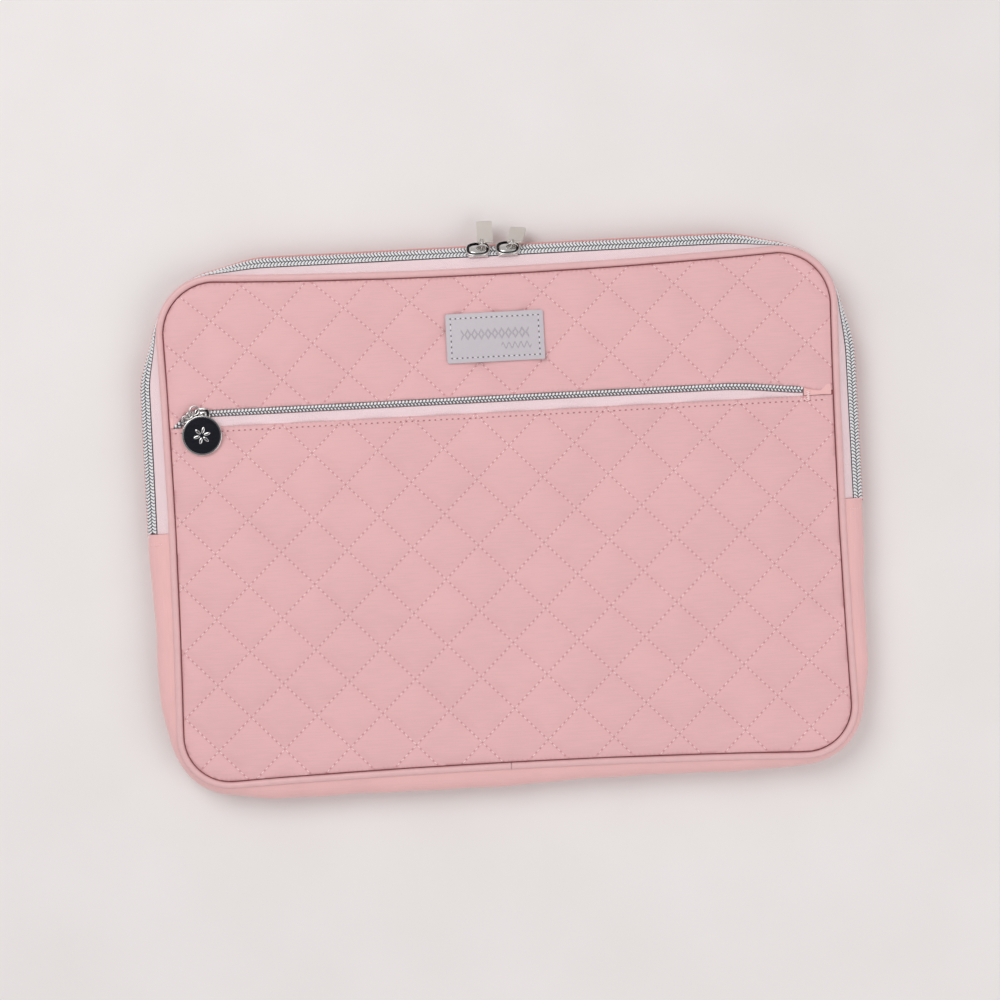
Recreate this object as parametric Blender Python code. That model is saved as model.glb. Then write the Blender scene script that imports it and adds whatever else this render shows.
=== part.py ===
"""A quilted laptop sleeve that lies on its back.

+X is the sleeve's width, +Y runs from the closed bottom edge to the zipped top edge and +Z is up,
out of the pocket side. The origin is the middle of the flat back face. Everything is in metres.

The sleeve opens like a book cover whose hinge is a fold: the zip runs from one side, over the top,
to the other side, and the front above the line through its two ends is the flap.
"""
import math
from collections import namedtuple

import bmesh
import bpy
from mathutils import Matrix, Vector

# ---- Driving dimensions -------------------------------------------------------------------------
SEAM_X = 0.1672            # half width of the front panel at its edge seam
SEAM_Y = 0.1250            # half height of the same panel
TOP_RADIUS = 0.0260        # its upper corners
BOTTOM_RADIUS = 0.0230     # its lower corners
TOP_PINCH = 0.0034         # how far the seam is drawn in at the middle of each edge
BOTTOM_PINCH = 0.0024
SIDE_PINCH = 0.0013

GAP = 0.0003               # between pieces that touch
BACK_SHEET = 0.0014        # quilted nylon and its wadding
BACK_FOAM = 0.0025
LINING = 0.0005
CAVITY_TOP = 0.0170        # underside of the front lining
FRONT_FOAM = 0.0017
POCKET_LINING = 0.0004
TOTAL = 0.0220             # thickness over the front panel

PIPING_R = 0.00175
PIPING_OUT = 0.00205       # piping centre, outward from the seam
FRONT_PIPING_Z = 0.0198
BACK_PIPING_Z = 0.0026
EDGE_SEAM_SHIFT = 0.0010   # the edge strips meet the piping this far in from its height
CORNER_REACH = ((1, 0.0060, 0.0460), (-1, 0.0040, 0.0400))  # upper, lower: fully drawn in, and not at all
BINDING_SIZE = (0.0028, 0.0012)
BINDING_INSET = 0.0006

HINGE_Y = -0.0010          # the fold line runs through both zip ends
FLAP_START = 0.0005        # flap pieces begin here, just above the fold
BASE_END = -0.0090         # front pieces below the fold end here and leave room for it
GUSSET_START = -0.0062     # the plain gusset begins below the zip ends

CHAIN_OUT = 0.0087         # chain centre, outward from the seam, on the straight top run
CHAIN_SIDE_OUT = 0.0093    # the same on the sides
CHAIN_Z = 0.0145
CHAIN_TILT = 40.0          # degrees that the chain leans outward
CHAIN_HALF = 0.0031
CHAIN_THICK = 0.0022
SLIT = 0.0011              # between the two rows of coils, for the sliders' webs
CORNER_OUT = 0.0038        # the same at the upper corners, where the zip is drawn in
CORNER_Z = 0.0126
CORNER_TILT = 85.0
TAPE = 0.0008
TAPE_FROM_PIPING = 0.0006
TAPE_START_Z = 0.0186      # where the front tape leaves the piping, on the straight runs
TAPE_CORNER_START_Z = 0.0172
COIL_TO_TAPE = 0.0004
TAPE_SINK = 0.0003         # the tapes lie this much below the chain's mid plane
BACK_TAPE_BEND = (0.0135, 0.0062)
BACK_TAPE_CORNER_BEND = (0.0062, 0.0060)
ZIP_END_Y = (-0.0058, -0.0038)
ZIP_END_ACROSS = (-0.0024, 0.0040)
ZIP_END_NORMAL = (-0.0008, 0.0004)

GUSSET_OUT = 0.0100        # how far the plain gusset stands out on the straight runs
GUSSET_CORNER_OUT = 0.0062
GUSSET_SHEET = 0.0010

POCKET_Y = 0.0592          # the pocket zip's chain
POCKET_HALF = 0.0020
POCKET_SLIT = 0.0010
POCKET_PANEL_EDGE = 0.0536 # folded edge of the pocket's front
UPPER_PANEL_EDGE = 0.0640  # folded edge of the panel above it
POCKET_COIL = 0.0013
POCKET_TAPE = 0.0006
POCKET_END = 0.0012
POCKET_END_INSET = 0.0024
POCKET_LEFT = -0.1560      # the zip window's ends
POCKET_RIGHT = 0.1520

LABEL_CENTRE = (-0.0012, 0.0903)
LABEL_SIZE = (0.0490, 0.0248, 0.0012)

SLIDER_LENGTH = 0.0115
SLIDER_HALF = 0.0047
SLIDER_PLATE = (0.0003, 0.0014)  # the top plate's faces, above the chain
SLIDER_WEB = 0.0003
LOWER_PLATE_SHORT = 0.0010
SLIDER_LIP = (0.0008, 0.0007)
LEFT_SLIDER_X = -0.0076
RIGHT_SLIDER_X = 0.0074
CROWN_SHIFT = 0.0022       # the crown sits right of each slider's middle
CROWN_LENGTH = 0.0064
CROWN_HEIGHT = 0.0029
CROWN_BAR = 0.0007
CROWN_HALF_DEPTH = 0.0005
PULL_RING_R = 0.0018
PULL_RING_SHIFT = 0.00065  # the ring hangs this far off the bar's middle
PULL_WIRE = 0.0004
TAB_SIZE = (0.0080, 0.0125, 0.0012)
LEFT_TAB_DROP = 35.0       # degrees below level at which each pull hangs
RIGHT_TAB_DROP = 54.0
TAB_SHIFT = 0.0016
TAB_NECK = 0.0012
TAB_HOLE_R = 0.0009

POCKET_SLIDER_X = -0.1494
POCKET_SLIDER_SIZE = (0.0078, 0.0064)
POCKET_CROWN_SHIFT = 0.0023
POCKET_CROWN_HALF_DEPTH = 0.0005
POCKET_CROWN = (0.0056, 0.0022, 0.0007)  # length, height and bar
POCKET_PLATE = 0.0010
POCKET_WEB = 0.0002
CHARM_CENTRE = (-0.1500, 0.0486)
CHARM_R = 0.0100
CHARM_THICK = 0.0014
CHARM_Z = 0.0236           # its mid plane at its middle
CHARM_LEAN = 3.2           # degrees, the top resting on the slider
LUG_ANGLE = 133.0
LUG_REACH = 0.0116
LUG_R = 0.0020
LUG_HOLE_R = 0.0013
LUG_THICK = 0.0006
CHARM_LOOP_CENTRE = (-0.1532, 0.0612, 0.0240)
CHARM_LOOP_R = 0.0023
CHARM_LINK_R = 0.0022
CHARM_WIRE = 0.0004
LINK_TILT = 45.0
LINK_SHORT_OF_LUG = 0.0007  # the link's far side to the middle of the lug's hole

# ---- Heights of the layers, from the back up -----------------------------------------------------
BACK_FOAM_Z = BACK_SHEET + GAP
BACK_LINING_Z = BACK_FOAM_Z + BACK_FOAM + GAP
CAVITY_BASE = BACK_LINING_Z + LINING
FOAM_Z = CAVITY_TOP + LINING + GAP
POCKET_LINING_Z = FOAM_Z + FRONT_FOAM + GAP
PANEL_Z = POCKET_LINING_Z + POCKET_LINING + GAP
POCKET_ZIP_Z = PANEL_Z
FLAP_BINDING_Z = CAVITY_TOP - GAP - BINDING_SIZE[1]
FRONT_SEAM_Z = FRONT_PIPING_Z - EDGE_SEAM_SHIFT
BACK_SEAM_Z = BACK_PIPING_Z + EDGE_SEAM_SHIFT
EDGE_SEAM_OUT = PIPING_OUT + PIPING_R + 0.0009

Station = namedtuple("Station", "x y nx ny tight pinch")


# ---- Helpers -------------------------------------------------------------------------------------
def clear_scene():
    for item in list(bpy.data.objects):
        bpy.data.objects.remove(item, do_unlink=True)


def finish(name, colour, roughness, metallic=0.0, alpha=1.0):
    material = bpy.data.materials.new(name)
    material.use_nodes = True
    shader = material.node_tree.nodes["Principled BSDF"]
    shader.inputs["Base Color"].default_value = (*colour, 1.0)
    shader.inputs["Roughness"].default_value = roughness
    shader.inputs["Metallic"].default_value = metallic
    shader.inputs["Alpha"].default_value = alpha
    return material


def add_object(name, bm, material):
    bmesh.ops.recalc_face_normals(bm, faces=bm.faces)
    mesh = bpy.data.meshes.new(name)
    bm.to_mesh(mesh)
    bm.free()
    mesh.materials.append(material)
    piece = bpy.data.objects.new(name, mesh)
    bpy.context.collection.objects.link(piece)
    return piece


def smoothstep(value, low, high):
    t = min(max((value - low) / (high - low), 0.0), 1.0)
    return t * t * (3.0 - 2.0 * t)


def mix(a, b, t):
    return a + (b - a) * t


def straight(start, end, normal, steps):
    """Points from start up to, but not including, end."""
    return [(mix(start[0], end[0], i / steps), mix(start[1], end[1], i / steps), *normal)
            for i in range(steps)]


def corner(centre, radius, start_deg, end_deg, steps):
    points = []
    for i in range(steps):
        angle = math.radians(mix(start_deg, end_deg, i / steps))
        c, s = math.cos(angle), math.sin(angle)
        points.append((centre[0] + radius * c, centre[1] + radius * s, c, s))
    return points


def pinch_at(x, y, nx, ny):
    """How far the front seam is drawn in: most at the middle of each edge, none at the corners."""
    if abs(ny) > 0.999:
        reach = x / (SEAM_X - TOP_RADIUS)
        return (TOP_PINCH if y > 0 else BOTTOM_PINCH) * max(0.0, 1.0 - reach * reach)
    if abs(nx) > 0.999:
        reach = y / (SEAM_Y - TOP_RADIUS)
        return SIDE_PINCH * max(0.0, 1.0 - reach * reach)
    return 0.0


def seam_path(part, end_y=0.0):
    """Stations round the seam. "upper" runs from end_y on the right side over the top to the left,
    "lower" from end_y on the left side round the bottom, and "whole" is the closed outline."""
    top = SEAM_Y - TOP_RADIUS
    bottom = -(SEAM_Y - BOTTOM_RADIUS)
    tx, bx = SEAM_X - TOP_RADIUS, SEAM_X - BOTTOM_RADIUS
    upper = straight((SEAM_X, end_y), (SEAM_X, top), (1, 0), 8)
    upper += corner((tx, top), TOP_RADIUS, 0, 90, 8)
    upper += straight((tx, SEAM_Y), (-tx, SEAM_Y), (0, 1), 16)
    upper += corner((-tx, top), TOP_RADIUS, 90, 180, 8)
    upper += straight((-SEAM_X, top), (-SEAM_X, end_y), (-1, 0), 8)
    lower = straight((-SEAM_X, end_y), (-SEAM_X, bottom), (-1, 0), 6)
    lower += corner((-bx, bottom), BOTTOM_RADIUS, 180, 270, 7)
    lower += straight((-bx, -SEAM_Y), (bx, -SEAM_Y), (0, -1), 12)
    lower += corner((bx, bottom), BOTTOM_RADIUS, 270, 360, 7)
    lower += straight((SEAM_X, bottom), (SEAM_X, end_y), (1, 0), 6)
    if part == "upper":
        points = upper + [(-SEAM_X, end_y, -1, 0)]
    elif part == "lower":
        points = lower + [(SEAM_X, end_y, 1, 0)]
    else:
        points = upper + lower
    corners = []
    for level, near, far in CORNER_REACH:
        radius = TOP_RADIUS if level > 0 else BOTTOM_RADIUS
        inset = radius * (1.0 - math.sqrt(0.5))
        corners += [(side * (SEAM_X - inset), level * (SEAM_Y - inset), near, far) for side in (-1, 1)]
    stations = []
    for x, y, nx, ny in points:
        tight = max(1.0 - smoothstep(math.hypot(x - cx, y - cy), low, high)
                    for cx, cy, low, high in corners)
        stations.append(Station(x, y, nx, ny, tight, pinch_at(x, y, nx, ny)))
    return stations


def place(station, out, z):
    return Vector((station.x + station.nx * out, station.y + station.ny * out, z))


def sweep(name, stations, section, material, closed=False):
    """A strip: section(station) gives (out, z) points, and neighbouring sections are bridged."""
    bm = bmesh.new()
    loops = []
    for station in stations:
        ring = [bm.verts.new(place(station, out, z)) for out, z in section(station)]
        loops.append([bm.edges.new((ring[i - 1], ring[i])) for i in range(len(ring))])
    pairs = list(zip(loops, loops[1:]))
    if closed:
        pairs.append((loops[-1], loops[0]))
    for first, second in pairs:
        bmesh.ops.bridge_loops(bm, edges=first + second)
    if not closed:
        for loop in (loops[0], loops[-1]):
            bmesh.ops.contextual_create(bm, geom=loop)
    return add_object(name, bm, material)


def slab(name, outline, low, high, material):
    """A flat sheet: an outline in X and Y, extruded from low to high."""
    bm = bmesh.new()
    face = bm.faces.new([bm.verts.new((x, y, low)) for x, y in outline])
    made = bmesh.ops.extrude_face_region(bm, geom=[face])
    raised = [item for item in made["geom"] if isinstance(item, bmesh.types.BMVert)]
    bmesh.ops.translate(bm, verts=raised, vec=(0, 0, high - low))
    return add_object(name, bm, material)


def extruded(name, profile, to_world, depth, material):
    """A profile in its own plane, extruded by depth both ways, then placed by to_world."""
    bm = bmesh.new()
    face = bm.faces.new([bm.verts.new((a, b, -depth)) for a, b in profile])
    made = bmesh.ops.extrude_face_region(bm, geom=[face])
    raised = [item for item in made["geom"] if isinstance(item, bmesh.types.BMVert)]
    bmesh.ops.translate(bm, verts=raised, vec=(0, 0, 2 * depth))
    bmesh.ops.transform(bm, matrix=to_world, verts=bm.verts)
    return add_object(name, bm, material)


def boolean(piece, tool, operation):
    modifier = piece.modifiers.new(operation.lower(), "BOOLEAN")
    modifier.operation = operation
    modifier.object = tool
    tool.hide_render = True
    tool.display_type = "WIRE"


def ring_piece(name, centre, radius, wire, turn, material, steps=18):
    """A wire ring, turned from lying flat by the matrix turn."""
    bm = bmesh.new()
    start = bmesh.ops.create_circle(bm, segments=6, radius=wire)["verts"]
    upright = Matrix.Translation((radius, 0, 0)) @ Matrix.Rotation(math.radians(90), 4, "X")
    bmesh.ops.transform(bm, matrix=upright, verts=start)
    bmesh.ops.spin(bm, geom=bm.verts[:] + bm.edges[:], cent=(0, 0, 0), axis=(0, 0, 1),
                   angle=math.radians(360), steps=steps, use_merge=True)
    bmesh.ops.transform(bm, matrix=Matrix.Translation(centre) @ turn.to_4x4(), verts=bm.verts)
    return add_object(name, bm, material)


# ---- The layers of the two panels ----------------------------------------------------------------
def sheet_outline(inset, low=None, high=None, pinched=True):
    """The seam's outline, inset, and cut off below low or above high."""
    points = []
    for st in seam_path("whole"):
        out = -inset - (st.pinch if pinched else 0.0)
        points.append((st.x + st.nx * out, st.y + st.ny * out))
    if low is not None:
        points = clip(points, low, 1)
    if high is not None:
        points = clip(points, high, -1)
    return points


def clip(points, level, sign):
    """Keep the part of an outline with sign * y above sign * level."""
    kept = []
    for here, there in zip(points, points[1:] + points[:1]):
        inside = sign * (here[1] - level) >= 0
        if inside:
            kept.append(here)
        if inside != (sign * (there[1] - level) >= 0):
            t = (level - here[1]) / (there[1] - here[1])
            kept.append((mix(here[0], there[0], t), level))
    return kept


def make_back(mats):
    slab("back_panel", sheet_outline(GAP, pinched=False), 0.0, BACK_SHEET, mats["nylon"])
    slab("back_foam", sheet_outline(0.0010, pinched=False), BACK_FOAM_Z, BACK_FOAM_Z + BACK_FOAM,
         mats["foam"])
    slab("back_lining", sheet_outline(0.0008, pinched=False), BACK_LINING_Z, CAVITY_BASE, mats["lining"])


def make_front(mats):
    layers = (("lining", CAVITY_TOP, LINING, 0.0008, "lining"),
              ("foam", FOAM_Z, FRONT_FOAM, 0.0010, "foam"),
              ("pocket_lining", POCKET_LINING_Z, POCKET_LINING, 0.0008, "lining"))
    for name, base, thick, inset, mat in layers:
        slab("flap_" + name, sheet_outline(inset, low=FLAP_START), base, base + thick, mats[mat])
        slab("base_" + name, sheet_outline(inset, high=BASE_END), base, base + thick, mats[mat])
    slab("upper_panel", sheet_outline(GAP, low=UPPER_PANEL_EDGE), PANEL_Z, TOTAL, mats["nylon"])
    slab("pocket_panel_flap", sheet_outline(GAP, low=FLAP_START, high=POCKET_PANEL_EDGE), PANEL_Z, TOTAL,
         mats["nylon"])
    slab("pocket_panel_base", sheet_outline(GAP, high=BASE_END), PANEL_Z, TOTAL, mats["nylon"])


# ---- Edge strips: piping, binding, zip tapes, chain and gusset -----------------------------------
def round_section(out, z, radius, sides=8):
    angles = [math.tau * (i + 0.5) / sides for i in range(sides)]
    return [(out + radius * math.cos(a), z + radius * math.sin(a)) for a in angles]


def front_piping_section(st):
    return round_section(PIPING_OUT - st.pinch, FRONT_PIPING_Z, PIPING_R)


def back_piping_section(st):
    return round_section(PIPING_OUT, BACK_PIPING_Z, PIPING_R)


def chain_frame(st):
    """The chain's centre, the direction across it towards the back, and its outward normal."""
    out = mix(mix(CHAIN_OUT, CHAIN_SIDE_OUT, st.nx * st.nx), CORNER_OUT, st.tight)
    z = mix(CHAIN_Z, CORNER_Z, st.tight)
    tilt = math.radians(mix(CHAIN_TILT, CORNER_TILT, st.tight))
    across = (math.cos(tilt), -math.sin(tilt))
    normal = (math.sin(tilt), math.cos(tilt))
    return (out, z), across, normal


def on_chain(st, a, n):
    centre, across, normal = chain_frame(st)
    return (centre[0] + a * across[0] + n * normal[0], centre[1] + a * across[1] + n * normal[1])


def coil_section(side):
    def section(st):
        inner, outer, half = side * SLIT / 2, side * CHAIN_HALF, CHAIN_THICK / 2
        return [on_chain(st, inner, -half), on_chain(st, outer, -half),
                on_chain(st, outer, half), on_chain(st, inner, half)]
    return section


def thick_line(points, thickness):
    """A closed section round a bent line, half the thickness to each side."""
    left, right = [], []
    for i, (u, z) in enumerate(points):
        u0, z0 = points[max(i - 1, 0)]
        u1, z1 = points[min(i + 1, len(points) - 1)]
        length = math.hypot(u1 - u0, z1 - z0)
        du, dz = (u1 - u0) / length, (z1 - z0) / length
        left.append((u - dz * thickness / 2, z + du * thickness / 2))
        right.append((u + dz * thickness / 2, z - du * thickness / 2))
    return left + right[::-1]


def bezier(p0, p1, p2, steps):
    points = []
    for i in range(steps + 1):
        t = i / steps
        points.append(tuple(mix(mix(a, b, t), mix(b, c, t), t) for a, b, c in zip(p0, p1, p2)))
    return points


def front_tape_section(st):
    """From under the front piping to the inner edge of the chain."""
    start = (mix(PIPING_OUT + PIPING_R + TAPE_FROM_PIPING - st.pinch, CORNER_OUT, st.tight),
             mix(TAPE_START_Z, TAPE_CORNER_START_Z, st.tight))
    return thick_line([start, on_chain(st, -CHAIN_HALF - COIL_TO_TAPE, -TAPE_SINK)], TAPE)


def back_tape_section(st):
    """From the outer edge of the chain, round and under, to the back piping."""
    start = on_chain(st, CHAIN_HALF + COIL_TO_TAPE, -TAPE_SINK)
    bend = tuple(mix(a, b, st.tight) for a, b in zip(BACK_TAPE_BEND, BACK_TAPE_CORNER_BEND))
    return thick_line(bezier(start, bend, (EDGE_SEAM_OUT, BACK_SEAM_Z), 5), TAPE)


def gusset_section(st):
    """The plain gusset: a shallow outward bow from the front piping to the back one."""
    bow = mix(GUSSET_OUT, GUSSET_CORNER_OUT, st.tight)
    top = (EDGE_SEAM_OUT - st.pinch, FRONT_SEAM_Z)
    bottom = (EDGE_SEAM_OUT, BACK_SEAM_Z)
    middle = (top[1] + bottom[1]) / 2
    upper = bezier(top, (bow, mix(top[1], middle, 0.35)), (bow, middle), 4)
    lower = bezier((bow, middle), (bow, mix(bottom[1], middle, 0.35)), bottom, 4)
    return thick_line(upper + lower[1:], GUSSET_SHEET)


def binding_section(z, pinched):
    """The tape that covers the raw seam inside, along the edge of a lining."""
    width, height = BINDING_SIZE

    def section(st):
        out = -BINDING_INSET - (st.pinch if pinched else 0.0)
        return [(out - width, z), (out, z), (out, z + height), (out - width, z + height)]
    return section


def make_edges(mats):
    whole = seam_path("whole")
    flap = seam_path("upper", FLAP_START)
    base = seam_path("lower", BASE_END)
    sweep("back_piping", whole, back_piping_section, mats["piping"], closed=True)
    sweep("flap_piping", flap, front_piping_section, mats["piping"])
    sweep("base_piping", base, front_piping_section, mats["piping"])
    sweep("back_binding", whole, binding_section(CAVITY_BASE + GAP, False), mats["binding"], closed=True)
    sweep("flap_binding", flap, binding_section(FLAP_BINDING_Z, True), mats["binding"])
    sweep("base_binding", base, binding_section(FLAP_BINDING_Z, True), mats["binding"])
    sweep("base_gusset", seam_path("lower", GUSSET_START), gusset_section, mats["gusset"])
    back = seam_path("upper", HINGE_Y)
    sweep("front_tape", flap, front_tape_section, mats["tape"])
    sweep("front_coil", flap, coil_section(-1), mats["coil"])
    sweep("back_tape", back, back_tape_section, mats["tape"])
    sweep("back_coil", back, coil_section(1), mats["coil"])
    for side, name in ((-1, "left_zip_end"), (1, "right_zip_end")):
        ends = [Station(side * SEAM_X, y, side, 0, 0.0, 0.0) for y in ZIP_END_Y]
        sweep(name, ends, zip_end_section, mats["gusset"])


def zip_end_section(st):
    """The sewn tab across both tapes below the last coil."""
    (inner, outer), (under, over) = ZIP_END_ACROSS, ZIP_END_NORMAL
    return [on_chain(st, a, n) for a, n in ((inner, under), (outer, under), (outer, over), (inner, over))]


# ---- Pocket zip ----------------------------------------------------------------------------------
def box_outline(x0, x1, y0, y1):
    return [(x0, y0), (x1, y0), (x1, y1), (x0, y1)]


def make_pocket_zip(mats):
    left, right = POCKET_LEFT, POCKET_RIGHT
    top_half = (POCKET_Y + POCKET_SLIT / 2, POCKET_Y + POCKET_HALF)
    low_half = (POCKET_Y - POCKET_HALF, POCKET_Y - POCKET_SLIT / 2)
    coil_low, coil_high = POCKET_ZIP_Z, POCKET_ZIP_Z + POCKET_COIL
    slab("pocket_coil_upper", box_outline(left, right, *top_half), coil_low, coil_high, mats["coil"])
    slab("pocket_coil_lower", box_outline(left, right, *low_half), coil_low, coil_high, mats["coil"])
    slab("pocket_tape_lower", box_outline(left, right, POCKET_PANEL_EDGE + GAP, low_half[0] - GAP),
         coil_low, coil_low + POCKET_TAPE, mats["tape"])
    slab("pocket_tape_upper", box_outline(left, right, top_half[1] + GAP, UPPER_PANEL_EDGE - GAP),
         coil_low, coil_low + POCKET_TAPE, mats["tape"])
    outer = SEAM_X - POCKET_END_INSET
    for name, x0, x1 in (("pocket_end_left", -outer, left - GAP), ("pocket_end_right", right + GAP, outer)):
        slab(name, box_outline(x0, x1, POCKET_PANEL_EDGE + GAP, UPPER_PANEL_EDGE - GAP), PANEL_Z,
             PANEL_Z + POCKET_END, mats["gusset"])


def make_label(mats):
    cx, cy = LABEL_CENTRE
    hx, hy = LABEL_SIZE[0] / 2, LABEL_SIZE[1] / 2
    slab("label_patch", box_outline(cx - hx, cx + hx, cy - hy, cy + hy), TOTAL + GAP,
         TOTAL + GAP + LABEL_SIZE[2], mats["label"])


# ---- Sliders and pulls of the main zip -----------------------------------------------------------
def top_chain_matrix(x):
    """Axes on the straight top run: local X across the chain, local Y along its normal, Z along +X."""
    tilt = math.radians(CHAIN_TILT)
    across = Vector((0, math.cos(tilt), -math.sin(tilt)))
    normal = Vector((0, math.sin(tilt), math.cos(tilt)))
    along = across.cross(normal)
    matrix = Matrix((across, normal, along)).transposed().to_4x4()
    return Matrix.Translation((x, SEAM_Y + CHAIN_OUT, CHAIN_Z)) @ matrix


def crown_profile(length, base, top, thick):
    """An arch along the slider: two posts and a bar, as one outline with the window open below."""
    h = length / 2
    return [(-h, base), (-h, top), (h, top), (h, base), (h - thick, base), (h - thick, top - thick),
            (-h + thick, top - thick), (-h + thick, base)]


def make_slider(name, x, mats):
    """A full top plate, a web in the slit, and a lower plate and lip on the front side only,
    so that the back row of coils can leave downwards when the flap opens."""
    top0, top1 = (CHAIN_THICK / 2 + height for height in SLIDER_PLATE)
    web, s = SLIDER_WEB, SLIDER_HALF
    under = -s + LOWER_PLATE_SHORT
    lip, drop = -s + SLIDER_LIP[0], top0 - SLIDER_LIP[1]
    profile = [(-s, top1), (s, top1), (s, top0), (web, top0), (web, -top1), (under, -top1),
               (under, -top0), (-web, -top0), (-web, top0), (lip, top0), (lip, drop), (-s, drop)]
    body = extruded(name, profile, top_chain_matrix(x), SLIDER_LENGTH / 2, mats["chrome"])
    profile = crown_profile(CROWN_LENGTH, top1 - GAP, top1 + CROWN_HEIGHT, CROWN_BAR)
    upright = top_chain_matrix(x + CROWN_SHIFT) @ Matrix.Rotation(math.radians(-90), 4, "Y")
    crown = extruded(name + "_crown_tool", profile, upright, CROWN_HALF_DEPTH, mats["chrome"])
    boolean(body, crown, "UNION")


def crown_centre(x):
    bar = CHAIN_THICK / 2 + SLIDER_PLATE[1] + CROWN_HEIGHT - CROWN_BAR / 2
    return top_chain_matrix(x + CROWN_SHIFT) @ Vector((0, bar, 0))


def make_pull(side, x, drop, lean, mats):
    """A ring round the crown's bar and a frosted tab on the ring."""
    pivot = crown_centre(x)
    swing = Matrix.Rotation(math.radians(-drop), 3, "X")
    ring_centre = pivot + swing @ Vector((0, PULL_RING_SHIFT, 0))
    upright = swing @ Matrix.Rotation(math.radians(90), 3, "Y")
    ring_piece(side + "_pull_ring", ring_centre, PULL_RING_R, PULL_WIRE, upright, mats["chrome"])
    width, length, thick = TAB_SIZE
    hole_y = PULL_RING_SHIFT + PULL_RING_R
    left, right, cut = TAB_SHIFT - width / 2, TAB_SHIFT + width / 2, TAB_NECK
    profile = [(left + cut, -cut), (right - cut, -cut), (right, 0), (right, length), (left, length),
               (left, 0)]
    turn = Matrix.Translation((0, hole_y, 0)) @ Matrix.Rotation(math.radians(-lean), 4, "Z")
    to_world = Matrix.Translation(pivot) @ swing.to_4x4() @ turn
    tab = extruded(side + "_pull_tab", profile, to_world, thick / 2, mats["frosted"])
    bm = bmesh.new()
    hole = Matrix.Translation((0, hole_y, 0))
    bmesh.ops.create_cone(bm, cap_ends=True, segments=12, radius1=TAB_HOLE_R, radius2=TAB_HOLE_R, depth=0.004,
                          matrix=Matrix.Translation(pivot) @ swing.to_4x4() @ hole)
    tool = add_object(side + "_pull_hole_tool", bm, mats["frosted"])
    boolean(tab, tool, "DIFFERENCE")


# ---- Pocket slider and charm ---------------------------------------------------------------------
def make_pocket_slider(mats):
    length, width = POCKET_SLIDER_SIZE
    low = POCKET_ZIP_Z + POCKET_COIL + GAP
    high = low + POCKET_PLATE
    h, web = width / 2, POCKET_WEB
    along = Matrix(((0, 0, 1), (1, 0, 0), (0, 1, 0))).to_4x4()
    to_world = Matrix.Translation((POCKET_SLIDER_X, POCKET_Y, 0)) @ along
    foot = POCKET_ZIP_Z + 0.0001
    profile = [(-h, high), (h, high), (h, low), (web, low), (web, foot), (-web, foot), (-web, low), (-h, low)]
    body = extruded("pocket_slider_body", profile, to_world, length / 2, mats["chrome"])
    crown_y = POCKET_Y + POCKET_CROWN_SHIFT
    upright = Matrix.Translation((POCKET_SLIDER_X, crown_y, 0)) @ Matrix.Rotation(math.radians(90), 4, "X")
    crown_length, crown_height, crown_bar = POCKET_CROWN
    crown = extruded("pocket_crown_tool",
                     crown_profile(crown_length, high - GAP, high + crown_height, crown_bar),
                     upright, POCKET_CROWN_HALF_DEPTH, mats["chrome"])
    boolean(body, crown, "UNION")


def charm_plane(x, y):
    """A point of the charm's mid plane: it leans on the slider and lies on the panel beyond."""
    return Vector((x, y, CHARM_Z + (y - CHARM_CENTRE[1]) * math.tan(math.radians(CHARM_LEAN))))


def charm_lug():
    """The middle of the hole in the charm's lug, up and left of its middle."""
    angle = math.radians(LUG_ANGLE)
    return charm_plane(CHARM_CENTRE[0] + LUG_REACH * math.cos(angle),
                       CHARM_CENTRE[1] + LUG_REACH * math.sin(angle))


def charm_cylinder(name, centre, radius, depth, segments, material):
    bm = bmesh.new()
    lean = Matrix.Rotation(math.radians(CHARM_LEAN), 4, "X")
    bmesh.ops.create_cone(bm, cap_ends=True, segments=segments, radius1=radius, radius2=radius,
                          depth=depth, matrix=Matrix.Translation(centre) @ lean)
    return add_object(name, bm, material)


def make_charm(mats):
    lug = charm_lug()
    disc = charm_cylinder("charm_disc", charm_plane(*CHARM_CENTRE), CHARM_R, CHARM_THICK, 40, mats["charm"])
    boolean(disc, charm_cylinder("charm_lug_tool", lug, LUG_R, LUG_THICK, 16, mats["charm"]), "UNION")
    boolean(disc, charm_cylinder("charm_hole_tool", lug, LUG_HOLE_R, 0.0060, 12, mats["charm"]), "DIFFERENCE")
    loop = Vector(CHARM_LOOP_CENTRE)
    flat = Matrix.Identity(3)
    ring_piece("charm_loop", loop, CHARM_LOOP_R, CHARM_WIRE, flat, mats["chrome"])
    toward = (lug - loop).normalized()
    reach = (lug - loop).length - LINK_SHORT_OF_LUG - CHARM_LINK_R
    middle = loop + toward * reach
    tilted = Matrix.Rotation(math.radians(LINK_TILT), 3, toward)
    ring_piece("charm_link", middle, CHARM_LINK_R, CHARM_WIRE, tilted, mats["chrome"])


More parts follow.
